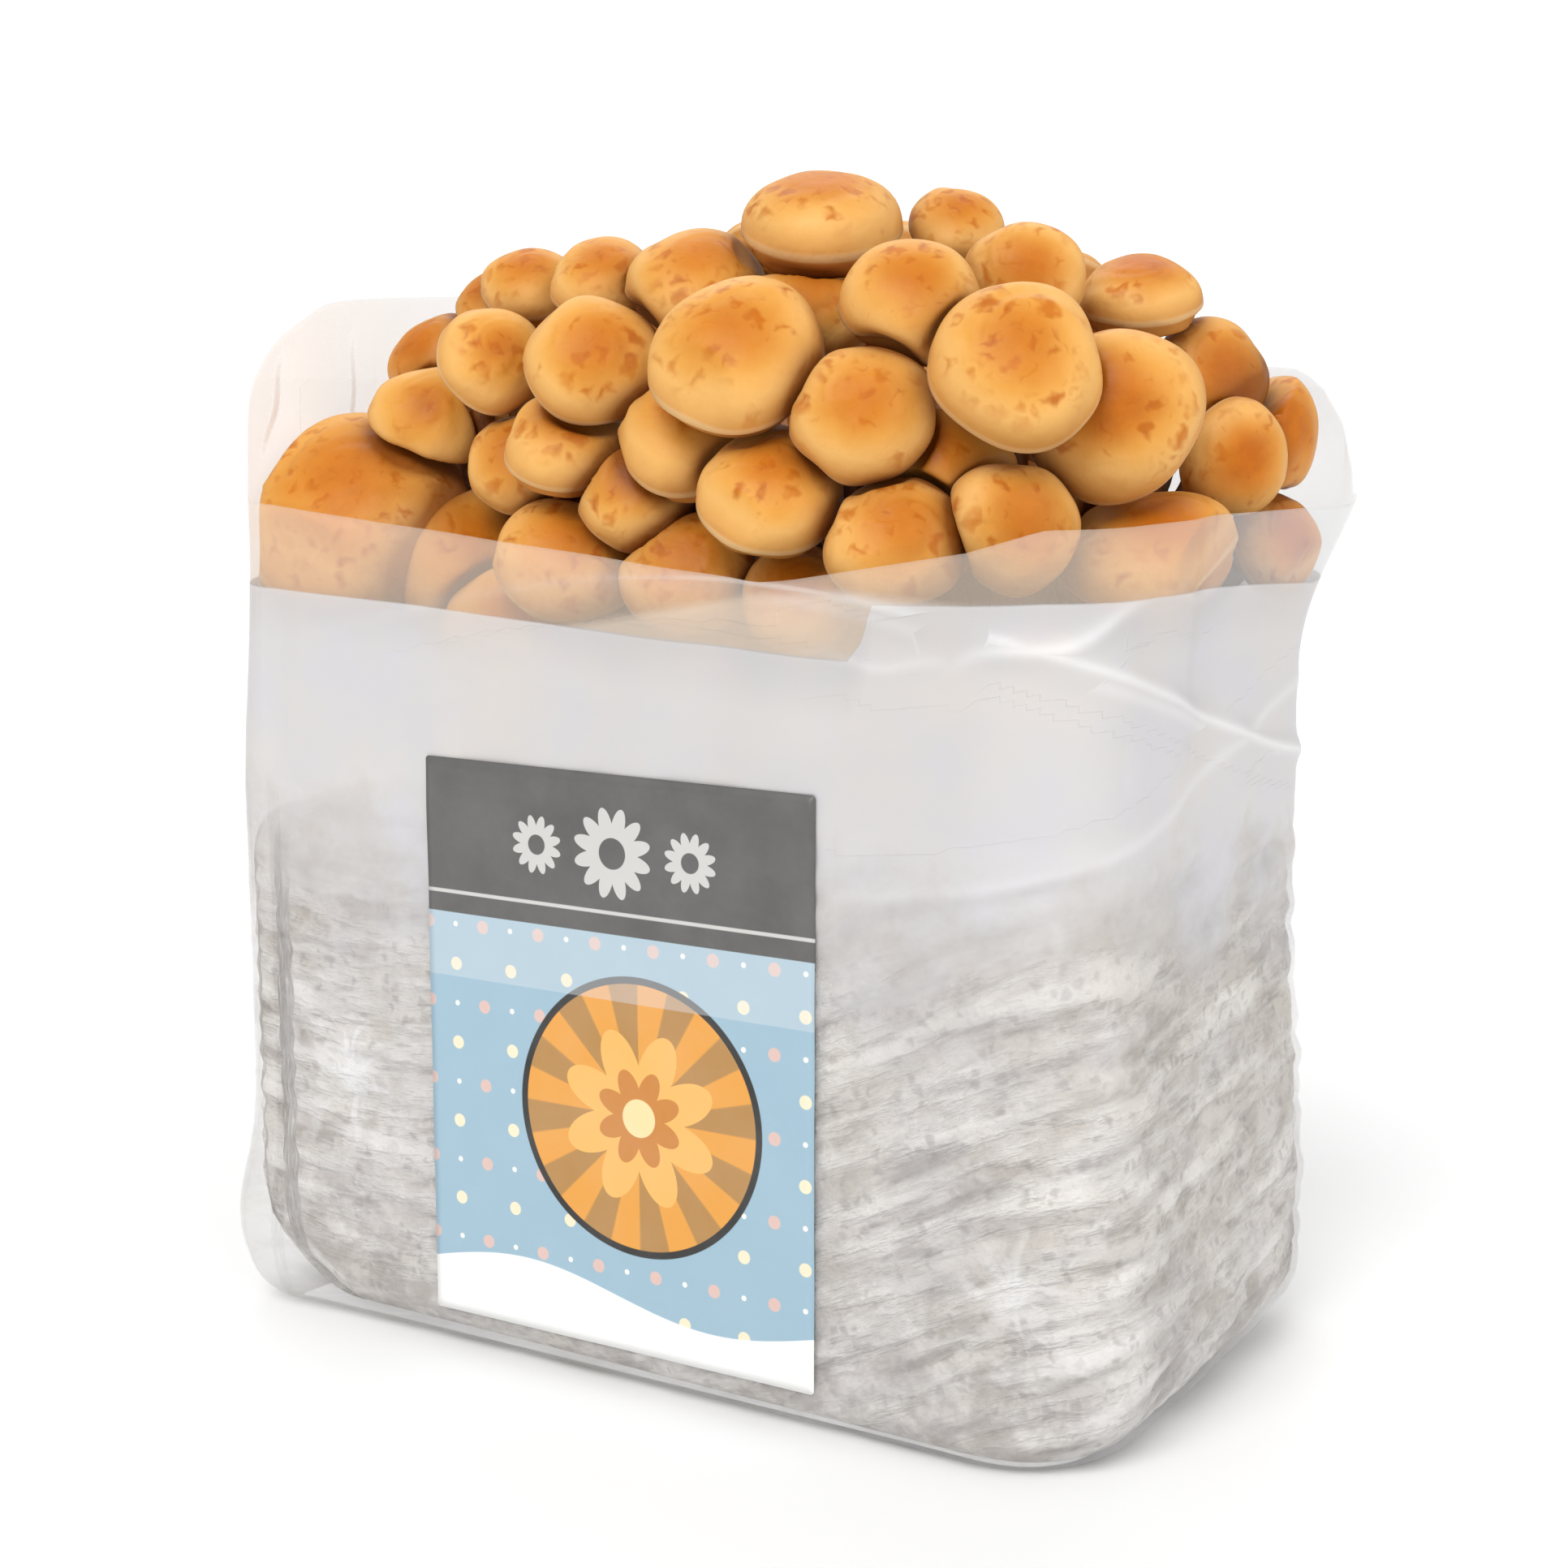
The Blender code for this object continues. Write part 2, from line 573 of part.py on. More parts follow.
def build_stems(routes):
    """Clusters of stems, each fused with its trunk into one piece."""
    for k in range(CLUSTERS):
        name = f"stem_cluster_{k + 1:02d}"
        trunk = build_trunk(name, trunk_middle(k))
        tools = bpy.data.collections.new(f"{name}_stems")
        bpy.context.scene.collection.children.link(tools)
        for i, (owner, (neck, bend, root)) in enumerate(routes):
            if owner != k:
                continue
            headings = (bend - neck, root - neck, root - bend)
            vertices, faces = tube((neck, bend, root), headings, STEM_RADIUS, i * STEM_TWIST)
            stem = mesh_object(f"stem_{i + 1:02d}", vertices, faces, "stem_flesh")
            collection.objects.unlink(stem)
            tools.objects.link(stem)
            stem.hide_render = True
            stem.display_type = "WIRE"
            fuse = trunk.modifiers.new(f"fuse_{i + 1:02d}", "BOOLEAN")
            fuse.operation = "UNION"
            fuse.solver = "EXACT"
            fuse.object = stem


def build_heap():
    """All caps and stems."""
    caps = lay_out(FRONT_CAPS, False) + lay_out(BACK_CAPS, True)
    planes = press_planes(caps)
    routes = [stem_route(cap, planes[i]) for i, cap in enumerate(caps)]
    press_stems(caps, planes, routes)
    for i, cap in enumerate(caps):
        build_cap(f"cap_{i + 1:02d}", cap, planes[i])
    build_stems(routes)


for thing in list(bpy.data.objects):
    bpy.data.objects.remove(thing, do_unlink=True)
for block in (bpy.data.meshes, bpy.data.materials):
    for thing in list(block):
        block.remove(thing)
collection = bpy.data.collections.new(NAME)
bpy.context.scene.collection.children.link(collection)
build_block()
build_bag()
build_label()
build_heap()
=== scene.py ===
# %% [markdown]
# # A grow block under a heap of nameko caps
#
# The object is a clear film bag round a block of sawdust that white mycelium has grown through. The bag is cut open at
# the top, and a crowd of orange caps has pushed out over its edge. This lesson starts from the plain solids of the same
# object and dresses each of them: a fine surface from a formula, then a finish built from shader nodes.
#
# The first cell loads the plain solids, which stay as the measure of every place and size.

# %% The frame
import math

import bpy
import numpy as np
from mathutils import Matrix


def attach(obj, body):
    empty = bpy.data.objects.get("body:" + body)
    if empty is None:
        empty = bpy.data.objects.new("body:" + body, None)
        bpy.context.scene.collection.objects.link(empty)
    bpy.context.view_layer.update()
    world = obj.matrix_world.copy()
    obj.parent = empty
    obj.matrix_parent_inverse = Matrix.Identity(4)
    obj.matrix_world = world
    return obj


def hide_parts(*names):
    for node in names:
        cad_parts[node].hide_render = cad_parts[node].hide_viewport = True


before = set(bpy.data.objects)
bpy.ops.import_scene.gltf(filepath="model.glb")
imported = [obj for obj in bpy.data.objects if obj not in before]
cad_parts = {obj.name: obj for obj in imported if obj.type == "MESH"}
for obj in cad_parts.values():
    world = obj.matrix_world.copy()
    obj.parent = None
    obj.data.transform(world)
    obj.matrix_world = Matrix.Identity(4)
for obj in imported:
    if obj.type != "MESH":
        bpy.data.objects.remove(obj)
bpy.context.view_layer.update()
MM = 0.001

# %% [markdown]
# ## The camera
#
# A long lens from a little above, turned so that the front and the right side both show. The focal length is kept in
# pixels of a square picture, since that is how it is found from the way upright edges and the base run together.

# %% Camera
PICTURE = 1932  # pixels a side
FOCAL = 3200  # pixels
SENSOR = 36.0
VIEW_AZIMUTH = math.radians(31.3)
VIEW_PITCH = math.radians(9.67)
VIEW_DISTANCE = 593 * MM
VIEW_HEIGHT = 226.2 * MM
VIEW_SHIFT = 1.6 * MM

lens = bpy.data.cameras.new("camera")
lens.sensor_width = SENSOR
lens.lens = FOCAL / PICTURE * SENSOR
lens.clip_start = 0.01
camera = bpy.data.objects.new("camera", lens)
bpy.context.scene.collection.objects.link(camera)
view_right = np.array([math.cos(VIEW_AZIMUTH), math.sin(VIEW_AZIMUTH), 0.0])
view_back = np.array([math.sin(VIEW_AZIMUTH), -math.cos(VIEW_AZIMUTH), 0.0])
camera.location = view_back * VIEW_DISTANCE + view_right * VIEW_SHIFT + np.array([0, 0, VIEW_HEIGHT])
camera.rotation_euler = (math.pi / 2 - VIEW_PITCH, 0, VIEW_AZIMUTH)
bpy.context.scene.camera = camera
print("lens in mm", round(lens.lens, 2))

# %% [markdown]
# ## Tools for shader nodes
#
# A finish is a small graph of nodes. These few helpers place a node, set its options and fill its sockets, so that the
# cells below read as a recipe. Colours are written as six figures, as a paint chart does, and turned into the linear
# values that the renderer works in.

# %% Node helpers
def paint(code):
    """A six-figure colour as linear red, green, blue and 1."""
    share = np.array([int(code[i : i + 2], 16) for i in (0, 2, 4)]) / 255
    return (*np.where(share <= 0.04045, share / 12.92, ((share + 0.055) / 1.055) ** 2.4), 1.0)


def add(tree, kind, sockets=None, **options):
    """Places a node, sets its options, and fills its sockets with values or with links."""
    node = tree.nodes.new("ShaderNode" + kind)
    for name, value in options.items():
        setattr(node, name, value)
    for key, value in (sockets or {}).items():
        if isinstance(value, bpy.types.NodeSocket):
            tree.links.new(value, node.inputs[key])
        else:
            node.inputs[key].default_value = value
    return node


def calc(tree, operation, *values):
    """One sum on one to three values."""
    return add(tree, "Math", dict(enumerate(values)), operation=operation).outputs[0]


def fade(tree, value, low, high, start=0.0, end=1.0):
    """Goes smoothly from start to end while a value goes from low to high."""
    sockets = {"Value": value, "From Min": low, "From Max": high, "To Min": start, "To Max": end}
    return add(tree, "MapRange", sockets, interpolation_type="SMOOTHSTEP").outputs[0]


def blend(tree, share, first, second, way="MIX"):
    """Two colours mixed."""
    return add(tree, "Mix", {0: share, 6: first, 7: second}, data_type="RGBA", blend_type=way).outputs[2]


def ramp(tree, value, *stops):
    """A run of colours along a value from 0 to 1, each stop being its place and its colour."""
    node = add(tree, "ValToRGB", {0: value})
    band = node.color_ramp.elements
    band.remove(band[1])
    for number, (place, code) in enumerate(stops):
        stop = band[0] if number == 0 else band.new(place)
        stop.position = place
        stop.color = paint(code)
    return node.outputs[0]


def place_of(tree, turn=(0, 0, 0), stretch=(1, 1, 1)):
    """Object coordinates, first turned and then stretched, so that the stretch runs along the turned axes."""
    where = add(tree, "TexCoord").outputs["Object"]
    turned = add(tree, "Mapping", {"Vector": where, "Rotation": turn}).outputs[0]
    return add(tree, "Mapping", {"Vector": turned, "Scale": stretch}).outputs[0]


def mark(tree, name):
    """A number that the surface carries at each of its points."""
    return add(tree, "Attribute", attribute_name=name).outputs["Fac"]


def split(tree, vector):
    """The three parts of a vector."""
    return add(tree, "SeparateXYZ", {0: vector}).outputs


def finish(name, roughness, **fixed):
    """An empty Principled material: its tree, its shader, and plain values on the shader's own sockets."""
    made = bpy.data.materials.new(name)
    made.use_nodes = True
    shader = made.node_tree.nodes["Principled BSDF"]
    shader.inputs["Roughness"].default_value = roughness
    for key, value in fixed.items():
        shader.inputs[key.replace("_", " ")].default_value = value
    return made, made.node_tree, shader


def wire(tree, value, shader, key):
    """Links a value to one of the shader's sockets."""
    tree.links.new(value, shader.inputs[key])


# %% [markdown]
# ## Effects that several finishes share
#
# Mould-white clouds, a fine grain and broken cells turn up on more than one piece, so each is a node group with named
# sockets. Clouds are layered noise cut to a soft edge. Grain is a very small noise for bumps. Cells are the plates that
# a drying skin breaks into: each has its own random value, and the lines between them come from the distance to the
# nearest edge.

# %% Shared node groups
def group(name, inputs, outputs):
    """An empty node group with the named sockets; gives the tree and its input and output nodes."""
    tree = bpy.data.node_groups.new(name, "ShaderNodeTree")
    for key, kind, value in inputs:
        socket = tree.interface.new_socket(key, in_out="INPUT", socket_type=kind)
        if value is not None:
            socket.default_value = value
    for key, kind in outputs:
        tree.interface.new_socket(key, in_out="OUTPUT", socket_type=kind)
    return tree, tree.nodes.new("NodeGroupInput").outputs, tree.nodes.new("NodeGroupOutput").inputs


def use(tree, shared, sockets):
    """Places a node group in a material."""
    node = tree.nodes.new("ShaderNodeGroup")
    node.node_tree = shared
    for key, value in sockets.items():
        if isinstance(value, bpy.types.NodeSocket):
            tree.links.new(value, node.inputs[key])
        else:
            node.inputs[key].default_value = value
    return node.outputs


VECTOR, NUMBER = "NodeSocketVector", "NodeSocketFloat"
clouds, given, out = group(
    "clouds",
    [("Place", VECTOR, None), ("Scale", NUMBER, 50.0), ("Amount", NUMBER, 0.5), ("Softness", NUMBER, 0.1)],
    [("Mask", NUMBER)],
)
noise = add(clouds, "TexNoise", {"Vector": given["Place"], "Scale": given["Scale"], "Detail": 5.0, "Roughness": 0.62})
middle = calc(clouds, "SUBTRACT", 1.0, given["Amount"])
low = calc(clouds, "SUBTRACT", middle, given["Softness"])
high = calc(clouds, "ADD", middle, given["Softness"])
clouds.links.new(fade(clouds, noise.outputs[0], low, high), out["Mask"])

grain, given, out = group("grain", [("Place", VECTOR, None), ("Scale", NUMBER, 900.0)], [("Height", NUMBER)])
fine = add(grain, "TexNoise", {"Vector": given["Place"], "Scale": given["Scale"], "Detail": 3.0, "Roughness": 0.6})
grain.links.new(fine.outputs[0], out["Height"])

cells, given, out = group(
    "cells",
    [("Place", VECTOR, None), ("Scale", NUMBER, 120.0), ("Warp", NUMBER, 0.004), ("Line", NUMBER, 0.1), ("Bend", NUMBER, 240.0)],
    [("Value", NUMBER), ("Plate", NUMBER)],
)
warp = add(cells, "TexNoise", {"Vector": given["Place"], "Scale": given["Bend"], "Detail": 1.0})
shift = add(cells, "VectorMath", {0: warp.outputs[1], 1: (0.5, 0.5, 0.5)}, operation="SUBTRACT")
scaled = add(cells, "VectorMath", {0: shift.outputs[0], "Scale": given["Warp"]}, operation="SCALE")
moved = add(cells, "VectorMath", {0: given["Place"], 1: scaled.outputs[0]}, operation="ADD").outputs[0]
whole = add(cells, "TexVoronoi", {"Vector": moved, "Scale": given["Scale"]}, feature="F1")
edge = add(cells, "TexVoronoi", {"Vector": moved, "Scale": given["Scale"]}, feature="DISTANCE_TO_EDGE")
cells.links.new(split(cells, whole.outputs["Color"])[0], out["Value"])
cells.links.new(fade(cells, edge.outputs["Distance"], 0.0, given["Line"]), out["Plate"])
print("shared effects", [shared.name for shared in bpy.data.node_groups])

# %% [markdown]
# ## Tools for surfaces
#
# Every new shape here is a grid of points. Its rows follow one parameter and its columns the other, so a closed form
# such as a cap is a run of rings with one point at each pole. The helper joins the points into faces, carries a map of
# the two parameters for the finishes, and stores numbers such as the distance from a cap's top as marks on the points.

# %% Surface helper
def skin(name, rings, low_pole, high_pole, marks=None):
    """A closed or open surface from rings of points: neighbours join in quads, and a pole closes an end with a fan."""
    rows, around = rings.shape[:2]
    first = np.arange(rows * around).reshape(rows, around)
    after = np.roll(first, -1, axis=1)
    quads = np.stack([first[:-1], after[:-1], after[1:], first[1:]], -1).reshape(-1, 4)
    row, column = np.divmod(np.arange((rows - 1) * around), around)
    u = np.stack([column, column + 1, column + 1, column], -1) / around
    v = np.stack([row, row, row + 1, row + 1], -1) / (rows - 1)
    points = [rings.reshape(-1, 3)]
    faces = quads.tolist()
    maps = [np.stack([u, v], -1).reshape(-1, 2)]
    turn = np.arange(around)
    for pole, ring, backwards in ((low_pole, 0, True), (high_pole, rows - 1, False)):
        if pole is None:
            continue
        tip = np.full(around, sum(len(part) for part in points))
        fan = (first[ring], after[ring], tip)
        share = (turn, turn + 1, turn + 0.5)
        if backwards:
            fan = fan[::-1]
            share = share[::-1]
        points.append(np.array([pole]))
        faces += np.stack(fan, -1).tolist()
        level = np.full(around, 0.0 if backwards else 1.0)
        maps.append(np.stack([np.stack(share, -1) / around, np.stack([level] * 3, -1)], -1).reshape(-1, 2))
    mesh = bpy.data.meshes.new(name)
    mesh.from_pydata(np.vstack(points).tolist(), [], faces)
    mesh.uv_layers.new(name="around").data.foreach_set("uv", np.vstack(maps).ravel())
    for key, values in (marks or {}).items():
        mesh.attributes.new(key, "FLOAT", "POINT").data.foreach_set("value", np.asarray(values, float).ravel())
    mesh.polygons.foreach_set("use_smooth", np.ones(len(mesh.polygons), bool))
    mesh.update()
    made = bpy.data.objects.new(name, mesh)
    bpy.context.scene.collection.objects.link(made)
    return made


def settle(piece, material, slot, *nodes):
    """Gives a piece its finish, puts it on the body, and lets it stand for its solids; the slot is not used."""
    piece.data.materials.append(material)
    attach(piece, "root")
    if nodes:
        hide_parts(*nodes)


def smooth_step(value, low, high):
    """0 below low, 1 above high, and an even curve between."""
    t = np.clip((value - low) / (high - low), 0, 1)
    return t * t * (3 - 2 * t)


def waves(s, z, length, heading, spread, seed, count=14):
    """Uneven ripples: the sum of plane waves of about one length, their crests turned about one heading at random."""
    dice = np.random.default_rng(seed)
    turns = heading + spread * dice.uniform(-1, 1, count)
    pace = 2 * math.pi / (length * dice.uniform(0.7, 1.5, count))
    total = np.zeros(np.broadcast(s, z).shape)
    for turn, quick, start in zip(turns, pace, dice.uniform(0, 2 * math.pi, count)):
        total += np.sin(quick * (z * math.cos(turn) - s * math.sin(turn)) + start)
    return total / math.sqrt(count / 2)


# %% [markdown]
# ## The plan of the bag
#
# Film, block and label all lean on one outline: a rectangle with four unlike rounded corners, which swells where the
# block sags and where the heap presses out. The numbers are those of the plain solids, so the fine surfaces lie on
# them. A place round the bag runs from 0 to 4, one side after another from the front's left end.

# %% Outline and swellings
BAG_WIDTH = 215 * MM
BAG_DEPTH = 128.4 * MM
FILM = 0.9 * MM
GAP = 0.3 * MM
CORNER_RADII = (26 * MM, 24 * MM, 18 * MM, 10 * MM)  # front right, back right, back left, front left
# The cut edge's heights in mm: a wide V at the front and right, and a back that stands up with rounded ends
RIM_FRONT = ((0.0, 191), (0.62, 179.5), (0.66, 178.5), (0.70, 179.5), (1.0, 191), (1.86, 191))
RIM_RIGHT_END = ((1.955, 193), (1.975, 205), (1.995, 215), (2.03, 220), (2.2, 222))
RIM_BACK = ((3.0, 238), (3.32, 237.5), (3.56, 236.6), (3.66, 236), (3.73, 234.8))
RIM_LEFT_END = ((3.78, 232), (3.84, 228), (3.87, 225), (3.9, 221), (3.935, 214), (3.95, 207), (3.965, 192))
RIM_PLACES, RIM_HEIGHTS = zip(*RIM_FRONT, *RIM_RIGHT_END, *RIM_BACK, *RIM_LEFT_END, (4.0, 191))
FOOT_PLACES = (0.0, 0.05, 0.12, 0.8, 1.0, 1.5, 2.0, 2.3, 3.0, 3.8, 3.93, 4.0)
FOOT_RADII = (9, 8.5, 8, 8, 7, 10, 19, 14, 12, 11, 10, 9)  # mm
BLOCK_FOOT_RADII = (31, 27, 12, 8, 7, 10, 19, 14, 12, 13, 26, 31)  # mm
SHOULDER = (17 * MM, 201 * MM, 28 * MM, 40 * MM)
FLAP = (5 * MM, 21 * MM, 17 * MM, 22 * MM)
RIGHT_SWELL = 7 * MM
RIGHT_SWELL_FROM = 0.7
RIGHT_SWELL_LEFT = 0.25
SAG_HEIGHTS = (30 * MM, 120 * MM)
RIGHT_SWELL_END = (130 * MM, 170 * MM)
LEFT_SWELL = 2.5 * MM
LEFT_SWELL_FROM = 0.85
LEFT_SWELL_END = (110 * MM, 185 * MM)
SWELL_FOOT = (-12 * MM, 20 * MM)
BOW_POWER = 6


def outline(wide, deep, arc):
    """The plan as points, outward normals, places and run: each side straight, then a quarter circle to the next."""
    half = np.array([BAG_WIDTH / 2, BAG_DEPTH / 2])
    points, normals, places = [], [], []
    for k, (sx, sy) in enumerate(((1, -1), (1, 1), (-1, 1), (-1, -1))):
        radius = CORNER_RADII[k]
        before = CORNER_RADII[k - 1]
        steps, side, other = (wide, BAG_WIDTH, BAG_DEPTH) if k % 2 == 0 else (deep, BAG_DEPTH, BAG_WIDTH)
        turn = math.radians(90 * k - 90)
        outward = np.array([math.cos(turn), math.sin(turn)])
        along = np.array([-outward[1], outward[0]])
        share = np.arange(1, steps) / steps
        reach = (before - side / 2) * (1 - share) + (side / 2 - radius) * share
        points.append(outward * abs(outward @ half) + along * reach[:, None])
        normals.append(np.tile(outward, (steps - 1, 1)))
        places.append(k + 0.5 + reach / side)
        share = np.arange(arc + 1) / arc
        angle = turn + share * math.pi / 2
        normal = np.column_stack([np.cos(angle), np.sin(angle)])
        points.append(np.array([sx, sy]) * (half - radius) + radius * normal)
        normals.append(normal)
        places.append(k + 1 - radius / side * (1 - share) + radius / other * share)
    points, normals, places = np.vstack(points), np.vstack(normals), np.concatenate(places) % 4
    run = np.concatenate([[0], np.cumsum(np.linalg.norm(np.diff(points, axis=0), axis=1))])
    return points, normals, places, run


def corner_swell(x, y, z, corner, size):
    """A swelling about a corner: its amount, dying away as a bell in height and in plan."""
    amount, height, rise, reach = size
    away = (x - corner[0]) ** 2 + (y - corner[1]) ** 2
    return amount * np.exp(-away / reach**2 - ((z - height) / rise) ** 2)


def swell(x, y, z, flap=True):
    """How far the film stands out: two corner swellings, and a bow on each side that fades with height."""
    half_width, half_depth = BAG_WIDTH / 2, BAG_DEPTH / 2
    shoulder = corner_swell(x, y, z, (half_width, half_depth), SHOULDER)
    corner = corner_swell(x, y, z, (-half_width, -half_depth), FLAP) if flap else 0.0
    bow = np.clip(1 - (y / half_depth) ** BOW_POWER, 0, 1)
    sag = 1 - (1 - RIGHT_SWELL_LEFT) * smooth_step(z, *SAG_HEIGHTS)
    right = bow * sag * smooth_step(x, RIGHT_SWELL_FROM * half_width, half_width)
    right *= 1 - smooth_step(z, *RIGHT_SWELL_END)
    left = smooth_step(-x, LEFT_SWELL_FROM * half_width, half_width) * (1 - smooth_step(z, *LEFT_SWELL_END))
    return shoulder + corner + smooth_step(z, *SWELL_FOOT) * (RIGHT_SWELL * right + LEFT_SWELL * left)


def plan_distance(x, y):
    """Distance outside the plain outline, negative inside: to a box, less each corner's radius."""
    front_right, back_right, back_left, front_left = CORNER_RADII
    right = np.where(y < 0, front_right, back_right)
    left = np.where(y < 0, front_left, back_left)
    radius = np.where(x > 0, right, left)
    qx = np.abs(x) - BAG_WIDTH / 2 + radius
    qy = np.abs(y) - BAG_DEPTH / 2 + radius
    return np.hypot(np.maximum(qx, 0), np.maximum(qy, 0)) + np.minimum(np.maximum(qx, qy), 0) - radius


def foot_inset(height, radius):
    """How far a wall rounded off at its foot stands in at a height, as a quarter circle does."""
    drop = np.clip(radius - height, 0, radius)
    return radius - np.sqrt(radius**2 - drop**2)


def eased(places, table_places, table_values, reach=0.02, taps=9):
    """A table read at each place, averaged over a short reach so that its corners turn smoothly."""
    total = np.zeros(len(places))
    for offset in np.linspace(-reach, reach, taps):
        total += np.interp((places + offset) % 4, table_places, table_values)
    return total / taps


# %% [markdown]
# ## Folds in the film
#
# Blown film is stiff and thin: it keeps sharp little folds where it was creased, long soft ones where it hangs free,
# and it creeps into every hollow of the block that it is drawn against. Here the folds are ridges along lines on the
# unrolled wall, with a bell across and a taper to both ends. The hollows are ripples that rise to the right.
# Under the label the film stays nearly flat.

# %% Relief of the wall
LABEL_LEFT = -51 * MM
LABEL_WIDTH = 99.5 * MM
LABEL_FOOT = 9.5 * MM
LABEL_HEIGHT = 127 * MM
LABEL_MARGIN = 4 * MM
LABEL_PRESS = 0.2 * MM  # the most that the film may stand out behind the label
BLOCK_TOP = 122 * MM
# Each fold: place and height in mm of its two ends, its half width and height in mm, and the set its bright line is in
FOLDS = (
    (0.155, 164, 0.02, 139, 2.8, 0.8, 0),
    (0.09, 160, 0.02, 147, 2.4, 0.4, 1),
    (0.03, 138, 0.20, 134, 2.6, 0.35, 1),
    (0.70, 164.4, 0.88, 163.8, 2.6, 0.3, 0),
    (0.86, 163.6, 1.235, 176.8, 2.8, 0.8, 1),
    (1.20, 176.5, 1.62, 176, 2.6, 0.3, 0),
    (1.05, 170, 1.70, 171, 4.5, 0.3, 2),
    (1.00, 150, 1.80, 156, 5.0, 0.4, 2),
    (0.55, 140, 1.0, 156, 5.0, 0.4, 2),
    (1.025, 116, 1.03, 87, 2.4, 0.3, 0),
    (0.30, 160, 0.60, 152, 5.0, 0.35, 2),
    (3.83, 226, 3.90, 196, 2.8, 0.8, 0),
    (3.62, 234, 3.70, 190, 3.6, 0.6, 1),
    (3.30, 230, 3.35, 150, 3.8, 0.6, 0),
    (2.75, 228, 2.60, 140, 4.0, 0.7, 0),
    (2.45, 220, 2.52, 150, 3.4, 0.6, 1),
    (2.10, 216, 2.20, 160, 3.4, 0.6, 0),
    (2.85, 190, 3.15, 168, 4.0, 0.6, 1),
    (2.30, 122, 2.90, 114, 3.6, 0.5, 0),
    (3.20, 124, 3.80, 130, 3.2, 0.5, 1),
)
# Which way the ridges of film and block climb, as places and slopes in degrees
SLOPE_PLACES = (0.0, 0.45, 0.9, 1.1, 2.0, 2.2, 2.9, 3.1, 4.0)
SLOPES = (-14, 20, 27, 8, 6, -16, -20, 9, 12)


def fold_lines(places, run, z):
    """Height of all folds; and for each of two sets the signed distance from its line and its strength there."""
    s, z = np.broadcast_arrays(run[None, :], z)
    height = np.zeros(z.shape)
    far, strength = np.full((2, *z.shape), 0.05), np.zeros((2, *z.shape))
    order = np.argsort(places)
    for p0, z0, p1, z1, wide, tall, which in FOLDS:
        start = np.array([np.interp(p0, places[order], run[order]), z0 * MM])
        end = np.array([np.interp(p1, places[order], run[order]), z1 * MM])
        along = end - start
        share = ((s - start[0]) * along[0] + (z - start[1]) * along[1]) / (along @ along)
        across = ((z - start[1]) * along[0] - (s - start[0]) * along[1]) / np.linalg.norm(along)
        across -= 0.03 * np.linalg.norm(along) * np.sin(3 * math.pi * np.clip(share, 0, 1))
        taper = np.sin(math.pi * np.clip(share, 0, 1)) ** 0.7
        height += tall * MM * taper * np.exp(-((across / (wide * MM)) ** 2))
        if which < 2:
            close = (np.abs(across) < 9 * MM) & (share > -0.1) & (share < 1.1)
            far[which] = np.where(close, across, far[which])
            strength[which] = np.where(close, taper * min(1.25 * tall, 1.0), strength[which])
    return height, far, strength


def climb(places, run):
    """How high a ridge has climbed by each place round the wall: the slope's tangent summed along the run."""
    order = np.argsort(places)
    tangent = np.tan(np.radians(np.interp(places[order], SLOPE_PLACES, SLOPES)))
    step = np.diff(run[order], prepend=run[order][0])
    total = np.zeros(len(places))
    total[order] = np.cumsum(tangent * np.clip(step, 0, 10 * MM))
    return total


def wall_relief(points, places, run, z):
    """How far the film stands out: folds, long soft waves where it is free, ridges on the block; then the marks."""
    s = run[None, :]
    free = smooth_step(z, BLOCK_TOP - 12 * MM, BLOCK_TOP + 16 * MM)
    folds, far, strength = fold_lines(places, run, z)
    soft = 0.40 * MM * waves(s, z * 0.5, 34 * MM, math.radians(70), 0.5, 3)
    ridge = z - climb(places, run)[None, :]
    ripple = 0.34 * MM * waves(s, ridge, 9 * MM, 0.0, 0.22, 5)
    ripple += 0.22 * MM * waves(s, z, 20 * MM, math.radians(30), 0.9, 6)
    side = smooth_step(points[:, 0], 60 * MM, 95 * MM) * smooth_step(-points[:, 1], -50 * MM, -20 * MM)
    seam = smooth_step(np.abs(places - np.where(places > 2, 4, 0)), 0.0, 0.1)
    relief = folds + free * soft + (1 - free) * ripple * (0.7 + 0.5 * side) * seam
    x = points[:, 0]
    front = points[:, 1] < -0.4 * BAG_DEPTH
    beside = np.maximum(LABEL_LEFT - x, x - LABEL_LEFT - LABEL_WIDTH) / LABEL_MARGIN
    above = np.maximum(LABEL_FOOT - z, z - LABEL_FOOT - LABEL_HEIGHT) / LABEL_MARGIN
    clear = np.clip(np.maximum(beside[None, :], above), 0, 1)
    clear = np.where(front[None, :], clear * clear * (3 - 2 * clear), 1.0)
    pressed = LABEL_PRESS * np.tanh(relief / LABEL_PRESS)
    along = np.broadcast_to(s, z.shape)
    return pressed + clear * (relief - pressed), *far, *(strength * clear), ridge, along


# %% [markdown]
# ## The film bag
#
# The bag is one sheet: a flat base, a rounded foot, then the wall up to a cut edge, which dips in a wide V at the front
# and stands highest at the back. It could be cloth, simulated over the block, but film does not drape: it stands on
# its own folds. So the wall is lofted from the outline and the relief, and Solidify gives the sheet its thickness.
# Marks on the points say how far each lies below the cut edge and below the second, inner sheet's edges.

# %% Film surface
FILM_SHEET = 0.2 * MM
WALL_ROWS = 138
FOOT_ROWS = 9
BASE_ROWS = 5
